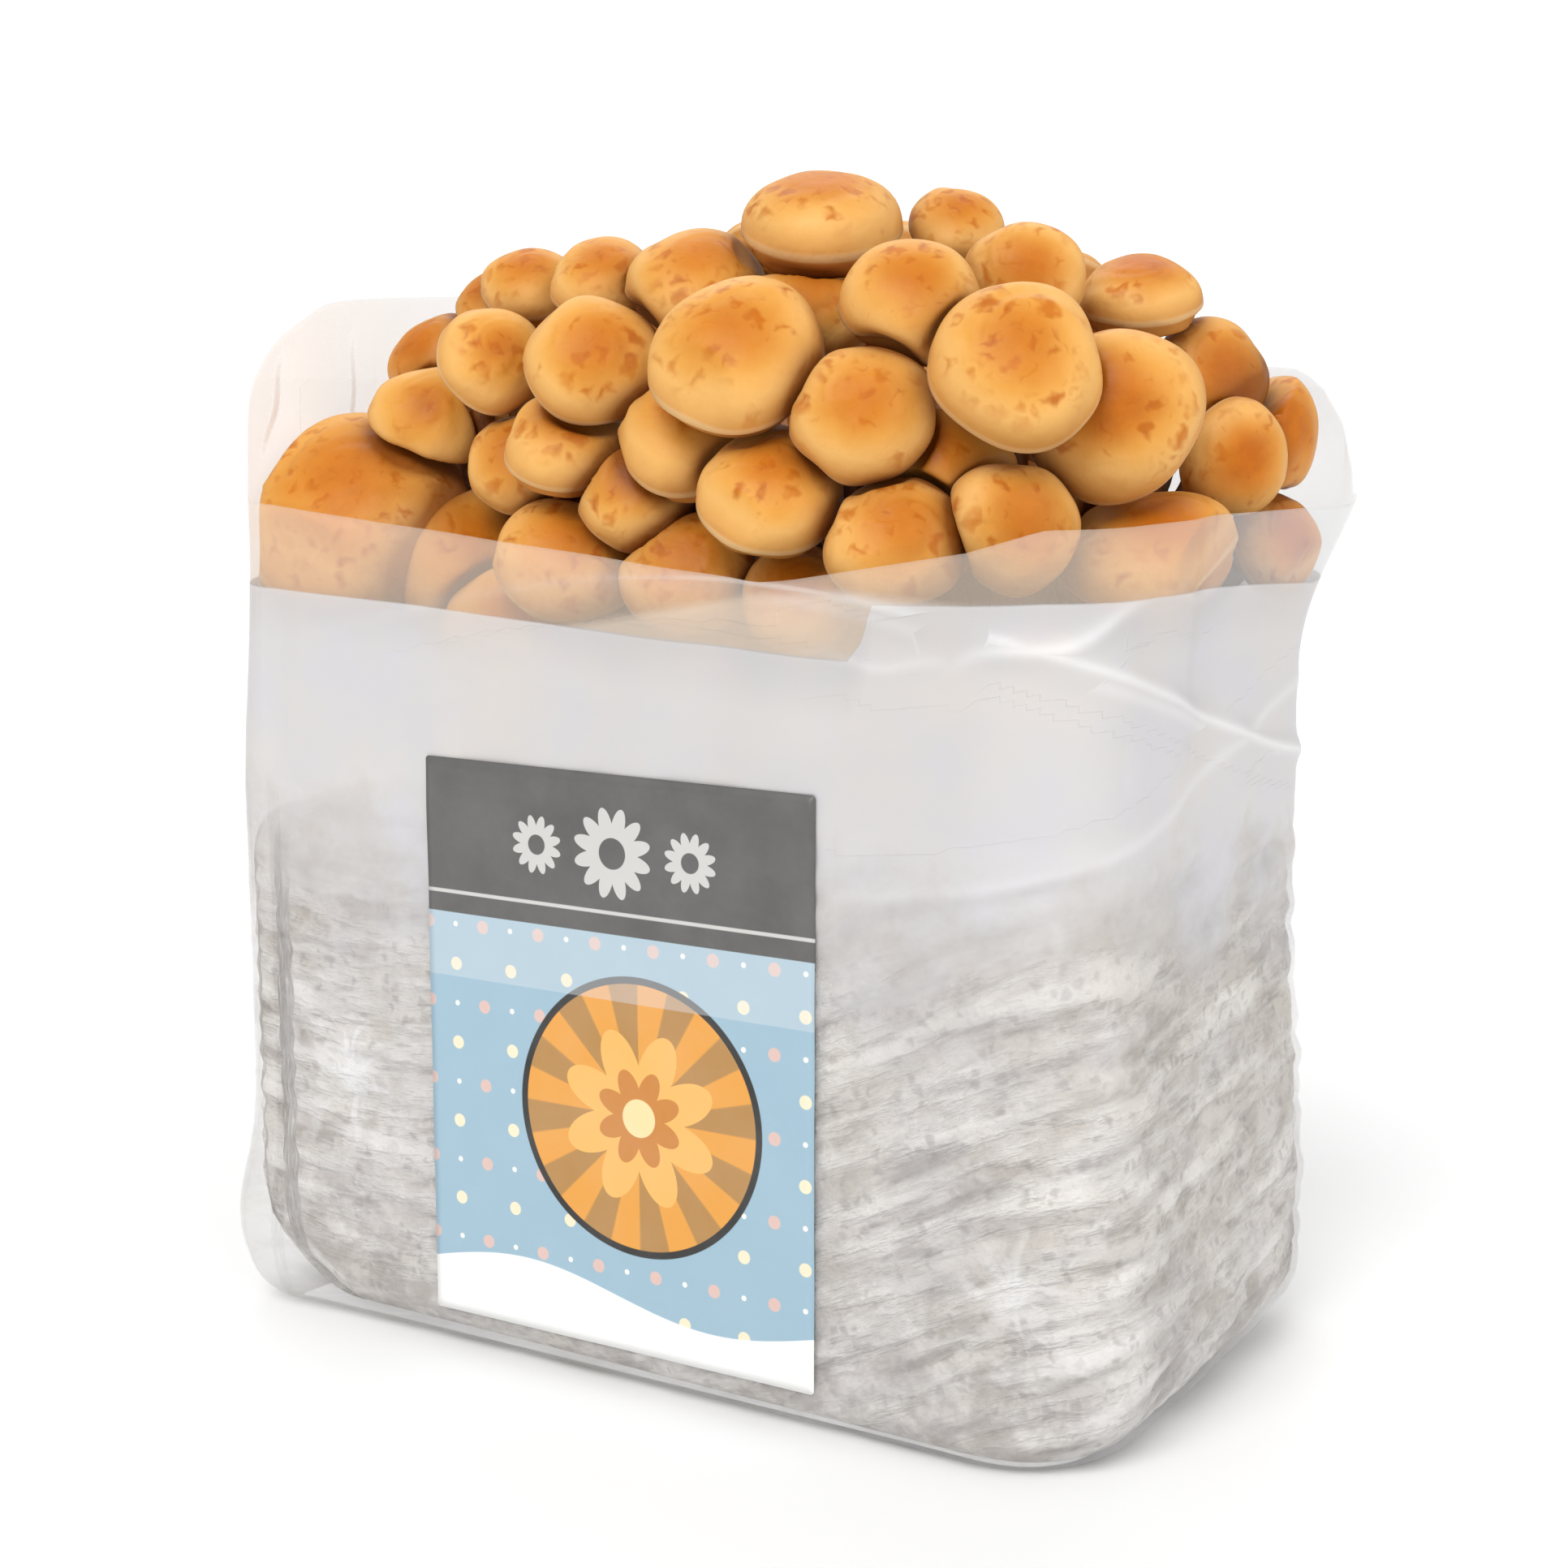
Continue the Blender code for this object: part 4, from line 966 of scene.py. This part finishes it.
def lay_out(table, opposite):
    """Middle, axis, radius and sink of each cap: a ray from the corner viewpoint meets the mound of cap middles."""
    azimuth, distance, view_height, shift_right = CORNER_VIEW
    azimuth += math.pi if opposite else 0.0
    right = np.array([math.cos(azimuth), math.sin(azimuth), 0.0])
    back = np.array([math.sin(azimuth), -math.cos(azimuth), 0.0])
    up_z = np.array([0.0, 0.0, 1.0])
    eye = back * distance + right * shift_right + up_z * view_height
    reach = np.linspace(0.6, 1.35, 751)
    caps = []
    for across_mm, rise_mm, radius, lean_right, lean_up, sink, brown, smooth in table:
        ray = right * across_mm * MM - back * distance + up_z * (rise_mm * MM - view_height)
        path = eye + reach[:, None] * ray
        sides = np.abs(np.column_stack([path[:, :2], np.maximum(path[:, 2] - MOUND_BASE, 0)]) / MOUND)
        depth = (sides ** np.array(MOUND_POWERS)).sum(axis=1) - 1
        inside = np.flatnonzero(depth < 0)
        first = inside[0] if len(inside) else int(np.argmin(depth))
        length = np.linalg.norm(ray)
        share = reach[first] + sink * MM / length
        sight = -ray / length
        level = np.cross(up_z, sight)
        level /= np.linalg.norm(level)
        facing = math.sqrt(max(1 - lean_right**2 - lean_up**2, 0))
        axis = level * lean_right + np.cross(sight, level) * lean_up + sight * facing
        caps.append((eye + share * ray, axis / np.linalg.norm(axis), FULLER * radius * MM * share, sink, brown, smooth))
    return caps


def cap_gauge(offsets, axis, radius):
    """Below 1 inside a free cap and 1 on its skin: an oval dome over a shallower rolled underside."""
    rise = offsets @ axis
    flat = np.sqrt(np.maximum((offsets**2).sum(axis=-1) - rise**2, 0)) / radius
    high = np.abs(rise) / radius
    dome = (flat**DOME_POWER + (high / DOME) ** DOME_POWER) ** (1 / DOME_POWER)
    under = (flat**UNDER_POWER + (high / UNDER) ** UNDER_POWER) ** (1 / UNDER_POWER)
    return np.where(rise > 0, dome, under)


def close_pairs(caps):
    """For each cap, which others reach near it."""
    near = [[] for _ in caps]
    for i, (centre, _, radius, *_) in enumerate(caps):
        for j, (other, _, other_radius, *_) in enumerate(caps):
            if j != i and np.linalg.norm(other - centre) < NEAR * (radius + other_radius):
                near[i].append(j)
    return near


def press_planes(caps, near):
    """For each cap, the planes that press it where a cap before it covers its very middle: directions and distances."""
    planes = [[] for _ in caps]
    for i, (centre, axis, radius, *_) in enumerate(caps):
        for j in near[i]:
            other, other_axis, other_radius = caps[j][:3]
            if cap_gauge(centre - other, other_axis, other_radius) > DEEP:
                continue
            apart = other - centre
            distance = np.linalg.norm(apart)
            towards = apart / distance
            own = 1 / cap_gauge(towards, axis, radius)
            theirs = 1 / cap_gauge(-towards, other_axis, other_radius)
            if is_before(caps, i, j):
                continue
            reach = distance - max(min(theirs, distance - LEAST_SHARE * own), LEAST_SHARE * theirs)
            planes[i].append((towards, reach - GAP / 2))
    return planes


def is_before(caps, i, j):
    """Whether the first cap lies further forward on the mound than the second."""
    return (caps[i][3], i) < (caps[j][3], j)


def young_caps(count):
    """Small caps inside the heap: a golden-angle spiral up a smaller mound, each leaning outwards."""
    step = (np.arange(count) + 0.5) / count
    turn = math.pi * (3 - math.sqrt(5)) * np.arange(count)
    level = 0.06 + 0.86 * step
    ring = np.sqrt(1 - level**2)
    middles = np.column_stack([YOUNG_MOUND[0] * ring * np.cos(turn), YOUNG_MOUND[1] * ring * np.sin(turn), level * YOUNG_MOUND[2]])
    middles[:, :2] *= np.array([1.12, 1.12])
    made = []
    for k, middle in enumerate(middles):
        axis = middle / np.array(YOUNG_MOUND) ** 1.2 + [0, 0, 6.0]
        radius = (10.5 + 2.5 * math.sin(2.4 * k)) * MM
        made.append((middle + [0, 0, YOUNG_BASE], axis / np.linalg.norm(axis), radius, 60.0, 1.3, 1.0))
    return made


caps = lay_out(FRONT_CAPS, False) + lay_out(BACK_CAPS, True)
grown = len(caps)
caps += young_caps(YOUNG_COUNT)
near = close_pairs(caps)
planes = press_planes(caps, near)
print("caps", len(caps), "radii in mm", round(min(c[2] for c in caps) / MM, 1), round(max(c[2] for c in caps) / MM, 1))

# %% [markdown]
# ## Stems
#
# Nameko fruits in clusters: single stems part from a foot where they have grown together, and bend to stand their caps
# upright. Each stem here is a tube along a smooth path from its cap's neck to its cluster's foot, a little thicker at
# both ends, with fine ribs. A voxel remesh then melts the tubes of one cluster into a single skin, as the real ones fuse.

# %% Stem routes
STEM_RADIUS = 2.9 * MM
STEM_LEAD = 9 * MM
CLUSTERS = 5
CLUSTER_PITCH = 35 * MM
TRUNK_HALF = (13 * MM, 21 * MM)
TRUNK_TOP = 160 * MM
TRUNK_KEEP_OFF = 1.15
ROOT_SHARES = np.array([0.18, 0.3, 0])
ROOT_OUT = 3 * MM
ROOT_RANGE = (132 * MM, 156 * MM)
NECK_RANGE = (150 * MM, 245 * MM)


def first_entry(directions, reach, centre, level_at, skin_level):
    """How far rays from a cap's middle get before a body's level falls under its skin's: samples, then a straight step."""
    steps = np.linspace(0, 1, 27)
    along = reach[:, None] * steps
    level = level_at(centre + directions[:, None] * along[..., None])
    inside = level < skin_level
    inside[:, 0] = False
    row, first = np.arange(len(reach)), inside.argmax(axis=1)
    before, after = level[row, first - 1], level[row, first]
    share = steps[first - 1] + steps[1] * (before - skin_level) / np.where(before > after, before - after, 1)
    return np.where(inside.any(axis=1), reach * np.clip(share, 0, 1), reach)


def cap_reach(directions, i):
    """How far a cap goes each way: its free form pressed by planes, stopped by what lies before it and by the film."""
    centre, axis, radius = caps[i][:3]
    total = cap_gauge(directions, axis, radius) ** PRESS
    for towards, distance in planes[i]:
        total += np.maximum(directions @ towards, 0) ** PRESS / distance**PRESS
    reach = total ** (-1 / PRESS)
    for level_at, skin_level in stops[i]:
        reach = first_entry(directions, reach, centre, level_at, skin_level)
    low_end, high_end = np.zeros(len(reach)), reach.copy()
    for _ in range(18):
        half = (low_end + high_end) / 2
        x, y, z = (centre + directions * half[:, None]).T
        free = plan_distance(x, y) < swell(x, y, z) - FILM - 2 * GAP
        low_end = np.where(free, half, low_end)
        high_end = np.where(free, high_end, half)
    return np.where(high_end < reach, low_end, reach)


def cap_level(other):
    """The level of another cap at any points, to be handed on."""
    return lambda points: cap_gauge(points - other[0], other[1], other[2])


def stem_level(start, end):
    """Distance from a straight stretch of stem at any points, to be handed on."""

    def level_at(points):
        along = end - start
        share = np.clip((points - start) @ along / (along @ along), 0, 1)
        return np.linalg.norm(points - start - share[..., None] * along, axis=-1)

    return level_at


def trunk_level(k):
    """1 on the oval trunk's skin, rising outside it and above its head."""

    def level_at(points):
        x, y, z = np.moveaxis(points - trunk_foot(k), -1, 0)
        over = np.maximum(z - (TRUNK_TOP - trunk_foot(k)[2]), 0) / TRUNK_HALF[0]
        return np.sqrt((x / TRUNK_HALF[0]) ** 2 + (y / TRUNK_HALF[1]) ** 2 + over**2)

    return level_at


def trunk_foot(k):
    """The middle of a cluster's foot on the block."""
    return np.array([(k - (CLUSTERS - 1) / 2) * CLUSTER_PITCH, 0.0, BLOCK_TOP + GAP])


def stem_route(i):
    """The cluster and the neck, bend and root of a cap's stem."""
    centre, axis = caps[i][:2]
    neck = centre - axis * (cap_reach(-axis[None], i)[0] + GAP)
    k = int(np.clip(round(neck[0] / CLUSTER_PITCH + (CLUSTERS - 1) / 2), 0, CLUSTERS - 1))
    inner = TRUNK_HALF[1] - TRUNK_HALF[0]
    root = trunk_foot(k) + ROOT_SHARES * (neck - trunk_foot(k))
    root[1] = np.clip(root[1], -inner - ROOT_OUT, inner + ROOT_OUT)
    root[2] = np.interp(neck[2], NECK_RANGE, ROOT_RANGE)
    return k, (neck, neck - axis * STEM_LEAD, root)


def nearest_on_line(start, end, point):
    """The point of a straight line between two ends that is nearest to a point."""
    along = end - start
    return start + np.clip((point - start) @ along / (along @ along), 0, 1) * along


stops = [[] for _ in caps]
touching = []
for i, (centre, *_) in enumerate(caps):
    for j in near[i]:
        if is_before(caps, j, i) and cap_level(caps[j])(centre) > DEEP:
            stops[i].append((cap_level(caps[j]), 1 + GAP / (UNDER * caps[j][2])))
routes = [stem_route(i) for i in range(len(caps))]
for i, (centre, _, radius, *_) in enumerate(caps):
    bodies = []
    for j, (_, (neck, bend, root)) in enumerate(routes[:grown]):
        if j != i:
            bodies += [(stem_level(neck, bend), 1.15 * STEM_RADIUS + GAP, 1), (stem_level(bend, root), 1.2 * STEM_RADIUS + GAP, 1)]
    bodies += [(trunk_level(k), 1.15, TRUNK_HALF[0]) for k in range(CLUSTERS)]
    for level_at, skin_level, size in bodies:
        gap_here = (level_at(centre) - skin_level) * size
        if 0.15 * radius < gap_here < radius:
            stops[i].append((level_at, skin_level))
        elif gap_here <= 0.15 * radius:
            touching.append(i)
print("stems in each cluster", [sum(owner == k for owner, _ in routes) for k in range(CLUSTERS)])
print("caps whose middle touches a stem", sorted(set(touching)))

# %% [markdown]
# ## One cap
#
# A young nameko cap is a bun: a dome that rolls under at its margin. The margin is a thin lip, the underside
# is still closed by a veil with a shallow groove inside the lip, and the whole is never quite round. Each cap
# is a globe of directions about its middle, so the pressed form above gives how far it goes each way. Then come
# what makes it grown and not turned: slow lobes round the dome, low bumps, the lip and the groove.

# %% Cap surface
CAP_AROUND, CAP_ROWS = 96, 58
LIP_AT, LIP_WIDE, LIP_OUT = 1.60, 0.045, 0.018
GROOVE_AT, GROOVE_WIDE, GROOVE_IN = 1.76, 0.09, 0.10
# how far out from a neighbour's skin the painted shade between touching caps reaches
CREVICE_SHADE_REACH = 2.0 * MM


def axis_frame(axis):
    """Two unit vectors square to an axis."""
    first = np.cross(axis, (0.0, 0.0, 1.0) if abs(axis[2]) < 0.9 else (1.0, 0.0, 0.0))
    first /= np.linalg.norm(first)
    return first, np.cross(axis, first)


def cap_surface(i, rows, around):
    """Rings of a cap from its top to its underside: directions by tilt and turn, reach by the pressed form and bumps."""
    centre, axis, radius = caps[i][:3]
    dice = np.random.default_rng(i + 1)
    first, second = axis_frame(axis)
    spread = np.linspace(0, 1, rows + 2)[1:-1]
    tilt = math.pi * (spread + 0.045 * np.sin(4 * math.pi * spread))[:, None]
    turn = np.linspace(0, 2 * math.pi, around, endpoint=False)[None]
    flat = np.cos(turn)[..., None] * first + np.sin(turn)[..., None] * second
    directions = np.cos(tilt)[..., None] * axis + np.sin(tilt)[..., None] * flat
    reach = cap_reach(directions.reshape(-1, 3), i).reshape(rows, around)
    for _ in range(3):
        level = (np.roll(reach, 1, 1) + reach + np.roll(reach, -1, 1)) / 3
        level[1:-1] = (level[:-2] + level[1:-1] + level[2:]) / 3
        reach = np.minimum(reach, level)
    starts = dice.uniform(0, 2 * math.pi, 4)
    lobes = 0.032 * np.sin(2 * turn + starts[0]) + 0.026 * np.sin(3 * turn + starts[1]) + 0.010 * np.sin(5 * turn + starts[2])
    shape = 1 - 0.036 + lobes * np.sin(tilt) ** 2
    bumps = waves(turn * np.sin(tilt) * 1.6, tilt * 2.0, 1.5, 0.0, 3.1, i + 101)
    shape += 0.010 * bumps * np.sin(tilt)
    shape += LIP_OUT * np.exp(-(((tilt - LIP_AT) / LIP_WIDE) ** 2))
    shape -= GROOVE_IN * np.exp(-(((tilt - GROOVE_AT) / GROOVE_WIDE) ** 2)) * 0.5
    rings = centre + directions * (reach * shape)[..., None]
    return rings, np.broadcast_to(tilt / (math.pi / 2), reach.shape)


def painted_crevice_shade(points, i):
    """Painted shade: 1 where another cap touches and falling to 0 within a few millimetres, from the gap to each
    neighbour's skin.
    """
    closest = np.full(len(points), 1.0)
    for j in near[i]:
        other, axis, radius = caps[j][:3]
        closest = np.minimum(closest, (cap_gauge(points - other, axis, radius) - 1) * 0.8 * radius)
    return np.exp(-np.maximum(closest, 0) / CREVICE_SHADE_REACH)


def make_cap(name, i, rows, around):
    """A cap's mesh, with its marks: how far from the top, how browned, how smooth the brown is, and how much painted
    shade it takes where other caps press close.
    """
    rings, pole = cap_surface(i, rows, around)
    top = rings[0].mean(axis=0)
    bottom = rings[-1].mean(axis=0)
    pole = np.append(pole[::-1].ravel(), [2.0, 0.0])
    points = np.vstack([rings[::-1].reshape(-1, 3), bottom, top])
    marks = {"pole": pole, "brown": np.full(len(pole), caps[i][4]), "smooth": np.full(len(pole), caps[i][5])}
    return skin(name, rings[::-1], bottom, top, marks | {"painted_crevice_shade": painted_crevice_shade(points, i)})


# %% [markdown]
# ## The finish of a cap
#
# The skin is amber, lighter down the sides and tan at the margin. Round the top it has browned in plates, with
# lighter lines between them, most of them near the pole. Some caps are browned evenly. The plates are cells in space,
# so no two caps match, and each cell is kept only if its random value passes a limit that rises away from the top.
# The sheen is a satin coat over fine, shallow dimples. Two darkenings are painted shade: the browns on the
# underside past the margin, and the brown where another cap presses close.

# %% Cap finish
cap_skin, tree, shader = finish("cap_skin", 0.42, Coat_Weight=0.05, Specular_IOR_Level=0.15)
shader.inputs["Coat Roughness"].default_value = 0.3
where = place_of(tree)
pole_here, brown_here, smooth_here = mark(tree, "pole"), mark(tree, "brown"), mark(tree, "smooth")
wander = add(tree, "TexNoise", {"Vector": where, "Scale": 70.0, "Detail": 3.0}).outputs[0]
far = calc(tree, "MULTIPLY_ADD", calc(tree, "SUBTRACT", wander, 0.5), 0.45, pole_here)
# skin colour from the top down: amber to tan at the margin is the cap's own; the browns past it, on the underside, are
# painted shade
skin_tone_and_under_shade = ramp(
    tree,
    calc(tree, "MULTIPLY", far, 0.5),
    (0.0, "CE7E22"),
    (0.16, "D48A30"),
    (0.28, "DE9E48"),
    (0.38, "E6B064"),
    (0.46, "DCA258"),
    (0.53, "CC8F49"),
    (0.75, "B0732F"),
    (1.0, "8A531E"),
)
plates = use(tree, cells, {"Place": where, "Scale": 200.0, "Warp": 0.005, "Line": 0.42, "Bend": 320.0})
limit = calc(tree, "DIVIDE", far, calc(tree, "MULTIPLY", brown_here, 0.85))
kept = fade(tree, calc(tree, "SUBTRACT", plates["Value"], calc(tree, "MULTIPLY_ADD", limit, 1.15, -0.42)), -0.30, 0.40)
broken = calc(tree, "MULTIPLY", kept, plates["Plate"])
even = fade(tree, calc(tree, "DIVIDE", far, brown_here), 0.80, 0.10)
even = calc(tree, "MULTIPLY", even, calc(tree, "MAXIMUM", smooth_here, 0.50))
browned = calc(tree, "MAXIMUM", calc(tree, "MULTIPLY", broken, 0.85), calc(tree, "MULTIPLY", even, 0.85))
deep = use(tree, clouds, {"Place": where, "Scale": 110.0, "Amount": 0.45, "Softness": 0.25})["Mask"]
crust = blend(tree, deep, paint("C26A0C"), paint("A64E06"))
tone = blend(tree, browned, skin_tone_and_under_shade, crust)
lip = calc(tree, "MULTIPLY", fade(tree, pole_here, 0.96, 1.0), fade(tree, pole_here, 1.06, 1.03))
tone = blend(tree, calc(tree, "MULTIPLY", lip, 0.45), tone, paint("F0D3A0"))
# painted shade: the skin turns dark brown where another cap touches
tone = blend(tree, calc(tree, "MULTIPLY", mark(tree, "painted_crevice_shade"), 0.85), tone, paint("7C3E0E"))
wire(tree, tone, shader, "Base Color")
wire(tree, calc(tree, "MULTIPLY_ADD", browned, -0.08, 0.46), shader, "Roughness")
small = use(tree, grain, {"Place": where, "Scale": 420.0})["Height"]
relief = calc(tree, "MULTIPLY_ADD", plates["Plate"], -0.25, small)
wire(tree, add(tree, "Bump", {"Height": relief, "Strength": 0.25, "Distance": 0.0006}).outputs[0], shader, "Normal")

for i in range(grown):
    piece = make_cap(f"cap_{i + 1:02d}_skin", i, CAP_ROWS, CAP_AROUND)
    settle(piece, cap_skin, "cap_skin", f"cap_{i + 1:02d}")
print("triangles in one cap", 2 * CAP_AROUND * CAP_ROWS)

# %% Stem clusters
STEM_AROUND, STEM_ROWS = 20, 26
VOXEL = 0.9 * MM


def stem_surface(route, seed):
    """A tube along a curve through three points: rings square to the curve, thicker at both ends, with fine ribs."""
    neck, bend, root = route
    share = np.linspace(0, 1, STEM_ROWS)[:, None]
    centre = (1 - share) ** 2 * neck + 2 * share * (1 - share) * bend + share**2 * root
    heading = np.gradient(centre, axis=0)
    heading /= np.linalg.norm(heading, axis=1)[:, None]
    reference = np.cross(root - neck, (0.31, 0.87, 0.38))
    first = np.cross(heading, reference / np.linalg.norm(reference))
    first /= np.linalg.norm(first, axis=1)[:, None]
    second = np.cross(heading, first)
    turn = np.linspace(0, 2 * math.pi, STEM_AROUND, endpoint=False)
    thick = 0.86 + 0.25 * np.exp(-((share / 0.10) ** 2)) + 0.35 * share**2
    ribs = 1 + 0.05 * np.sin(5 * turn + seed) + 0.03 * np.sin(9 * turn - seed + 4 * share)
    radius = STEM_RADIUS * thick * ribs
    flat = np.cos(turn)[None, :, None] * first[:, None] + np.sin(turn)[None, :, None] * second[:, None]
    return centre[:, None] + radius[..., None] * flat, neck, root


def trunk_surface(k):
    """The foot that stems share: an oval column, wide at the floor and rounded at its head, with grooves round it."""
    turn = np.linspace(0, 2 * math.pi, 60, endpoint=False)
    share = np.linspace(0, 1, 24)[:, None]
    wide = np.sqrt(np.clip(1 - share**6, 0, 1)) * (1.08 - 0.14 * share)
    grooves = 1 + 0.06 * np.sin(7 * turn + k) + 0.04 * np.sin(11 * turn - 2 * k)
    x = trunk_foot(k)[0] + TRUNK_HALF[0] * wide * grooves * np.cos(turn)
    y = TRUNK_HALF[1] * wide * grooves * np.sin(turn)
    z = trunk_foot(k)[2] + share * (TRUNK_TOP - trunk_foot(k)[2]) + 0 * turn
    low_end = trunk_foot(k)
    return np.dstack([x, y, z])[:-1], low_end, np.array([low_end[0], 0, TRUNK_TOP])


def join_as(name, parts):
    """One mesh object from several, which are removed."""
    for part in bpy.context.selected_objects:
        part.select_set(False)
    for part in parts:
        part.select_set(True)
    bpy.context.view_layer.objects.active = parts[0]
    bpy.ops.object.join()
    parts[0].name = parts[0].data.name = name
    return parts[0]


# %% [markdown]
# ## The finish of the stems
#
# Stem flesh is tan under the cap and turns a deep brown towards the foot: partly the stem's own browning, partly
# painted shade for the dark core of the heap. The change follows height. Long fibres are clouds stretched upright.

# %% Stem finish
stem_flesh, tree, shader = finish("stem_flesh", 0.55)
where = place_of(tree)
fibres = use(tree, clouds, {"Place": place_of(tree, stretch=(1, 1, 0.15)), "Scale": 420.0, "Amount": 0.5, "Softness": 0.2})["Mask"]
patchy = use(tree, clouds, {"Place": where, "Scale": 90.0, "Amount": 0.5, "Softness": 0.25})["Mask"]
up_here = calc(tree, "MULTIPLY_ADD", patchy, 0.02, split(tree, where)[2])
# painted shade: the darkest stops, near the foot, stand in for the shadow inside the heap; the tan above is the stem's
# own colour
tone = ramp(tree, fade(tree, up_here, 0.125, 0.245), (0.0, "2A1404"), (0.45, "4E2A0C"), (0.8, "7A4416"), (1.0, "9A5E22"))
tone = blend(tree, calc(tree, "MULTIPLY", fibres, 0.35), tone, paint("4A2A0C"))
wire(tree, tone, shader, "Base Color")
small = use(tree, grain, {"Place": place_of(tree, stretch=(1, 1, 0.2)), "Scale": 700.0})["Height"]
wire(tree, add(tree, "Bump", {"Height": small, "Strength": 0.5, "Distance": 0.0006}).outputs[0], shader, "Normal")

for k in range(CLUSTERS):
    parts = [skin(f"trunk_{k}", *trunk_surface(k))]
    for i, (owner, route) in enumerate(routes):
        if owner == k:
            rings, neck, root = stem_surface(route, i)
            parts.append(skin(f"stem_{i}", rings[::-1], root, neck))
    cluster = join_as(f"stem_cluster_{k + 1:02d}_flesh", parts)
    melt = cluster.modifiers.new("melt", "REMESH")
    melt.mode = "VOXEL"
    melt.voxel_size = VOXEL
    melt.use_smooth_shade = True
    settle(cluster, stem_flesh, "stem_flesh", f"stem_cluster_{k + 1:02d}")
    young = [make_cap(f"young_{i}", i, 24, 36) for i in range(grown, len(caps)) if routes[i][0] == k]
    settle(join_as(f"young_caps_{k + 1:02d}", young), cap_skin, "cap_skin", f"stem_cluster_{k + 1:02d}")
print("clusters", CLUSTERS)

# %% [markdown]
# ## Floor and light
#
# A pale floor and soft light keep the eye on the object. The lamps are far away and wide, so that they light the
# floor as evenly as a white sweep: one high in front makes the forms, one on the right opens the shadows.

# %% Studio
FLOOR_REACH = 12.0
AROUND = 0.55  # how bright the surroundings light the object
SWEEP = 1.145  # how bright they look, which is as bright as the lit floor
corner = FLOOR_REACH * np.array([[-1, -1, 0], [1, -1, 0], [1, 1, 0], [-1, 1, 0]])
floor_mesh = bpy.data.meshes.new("floor")
floor_mesh.from_pydata(corner.tolist(), [], [(0, 1, 2, 3)])
floor = bpy.data.objects.new("floor", floor_mesh)
bpy.context.scene.collection.objects.link(floor)
pale, tree, shader = finish("studio_floor", 0.7)
shader.inputs["Base Color"].default_value = (0.9, 0.9, 0.9, 1)
floor_mesh.materials.append(pale)

world = bpy.data.worlds.new("studio")
bpy.context.scene.world = world
world.use_nodes = True
air = world.node_tree
seen = add(air, "LightPath").outputs["Is Camera Ray"]
air.links.new(calc(air, "MULTIPLY_ADD", seen, SWEEP - AROUND, AROUND), air.nodes["Background"].inputs["Strength"])
air.nodes["Background"].inputs["Color"].default_value = (1, 1, 1, 1)


def lamp(name, azimuth, elevation, strength, softness):
    """A far lamp: all its light comes from one side, spread over an angle in degrees."""
    data = bpy.data.lights.new(name, "SUN")
    data.energy = strength
    data.angle = math.radians(softness)
    made = bpy.data.objects.new(name, data)
    bpy.context.scene.collection.objects.link(made)
    made.rotation_euler = (math.pi / 2 - math.radians(elevation), 0, math.radians(azimuth))


lamp("key", 5, 50, 1.7, 35)
lamp("fill", 80, 32, 0.8, 50)
lamp("back_light", 215, 50, 0.7, 50)
bpy.context.scene.view_settings.view_transform = "Standard"
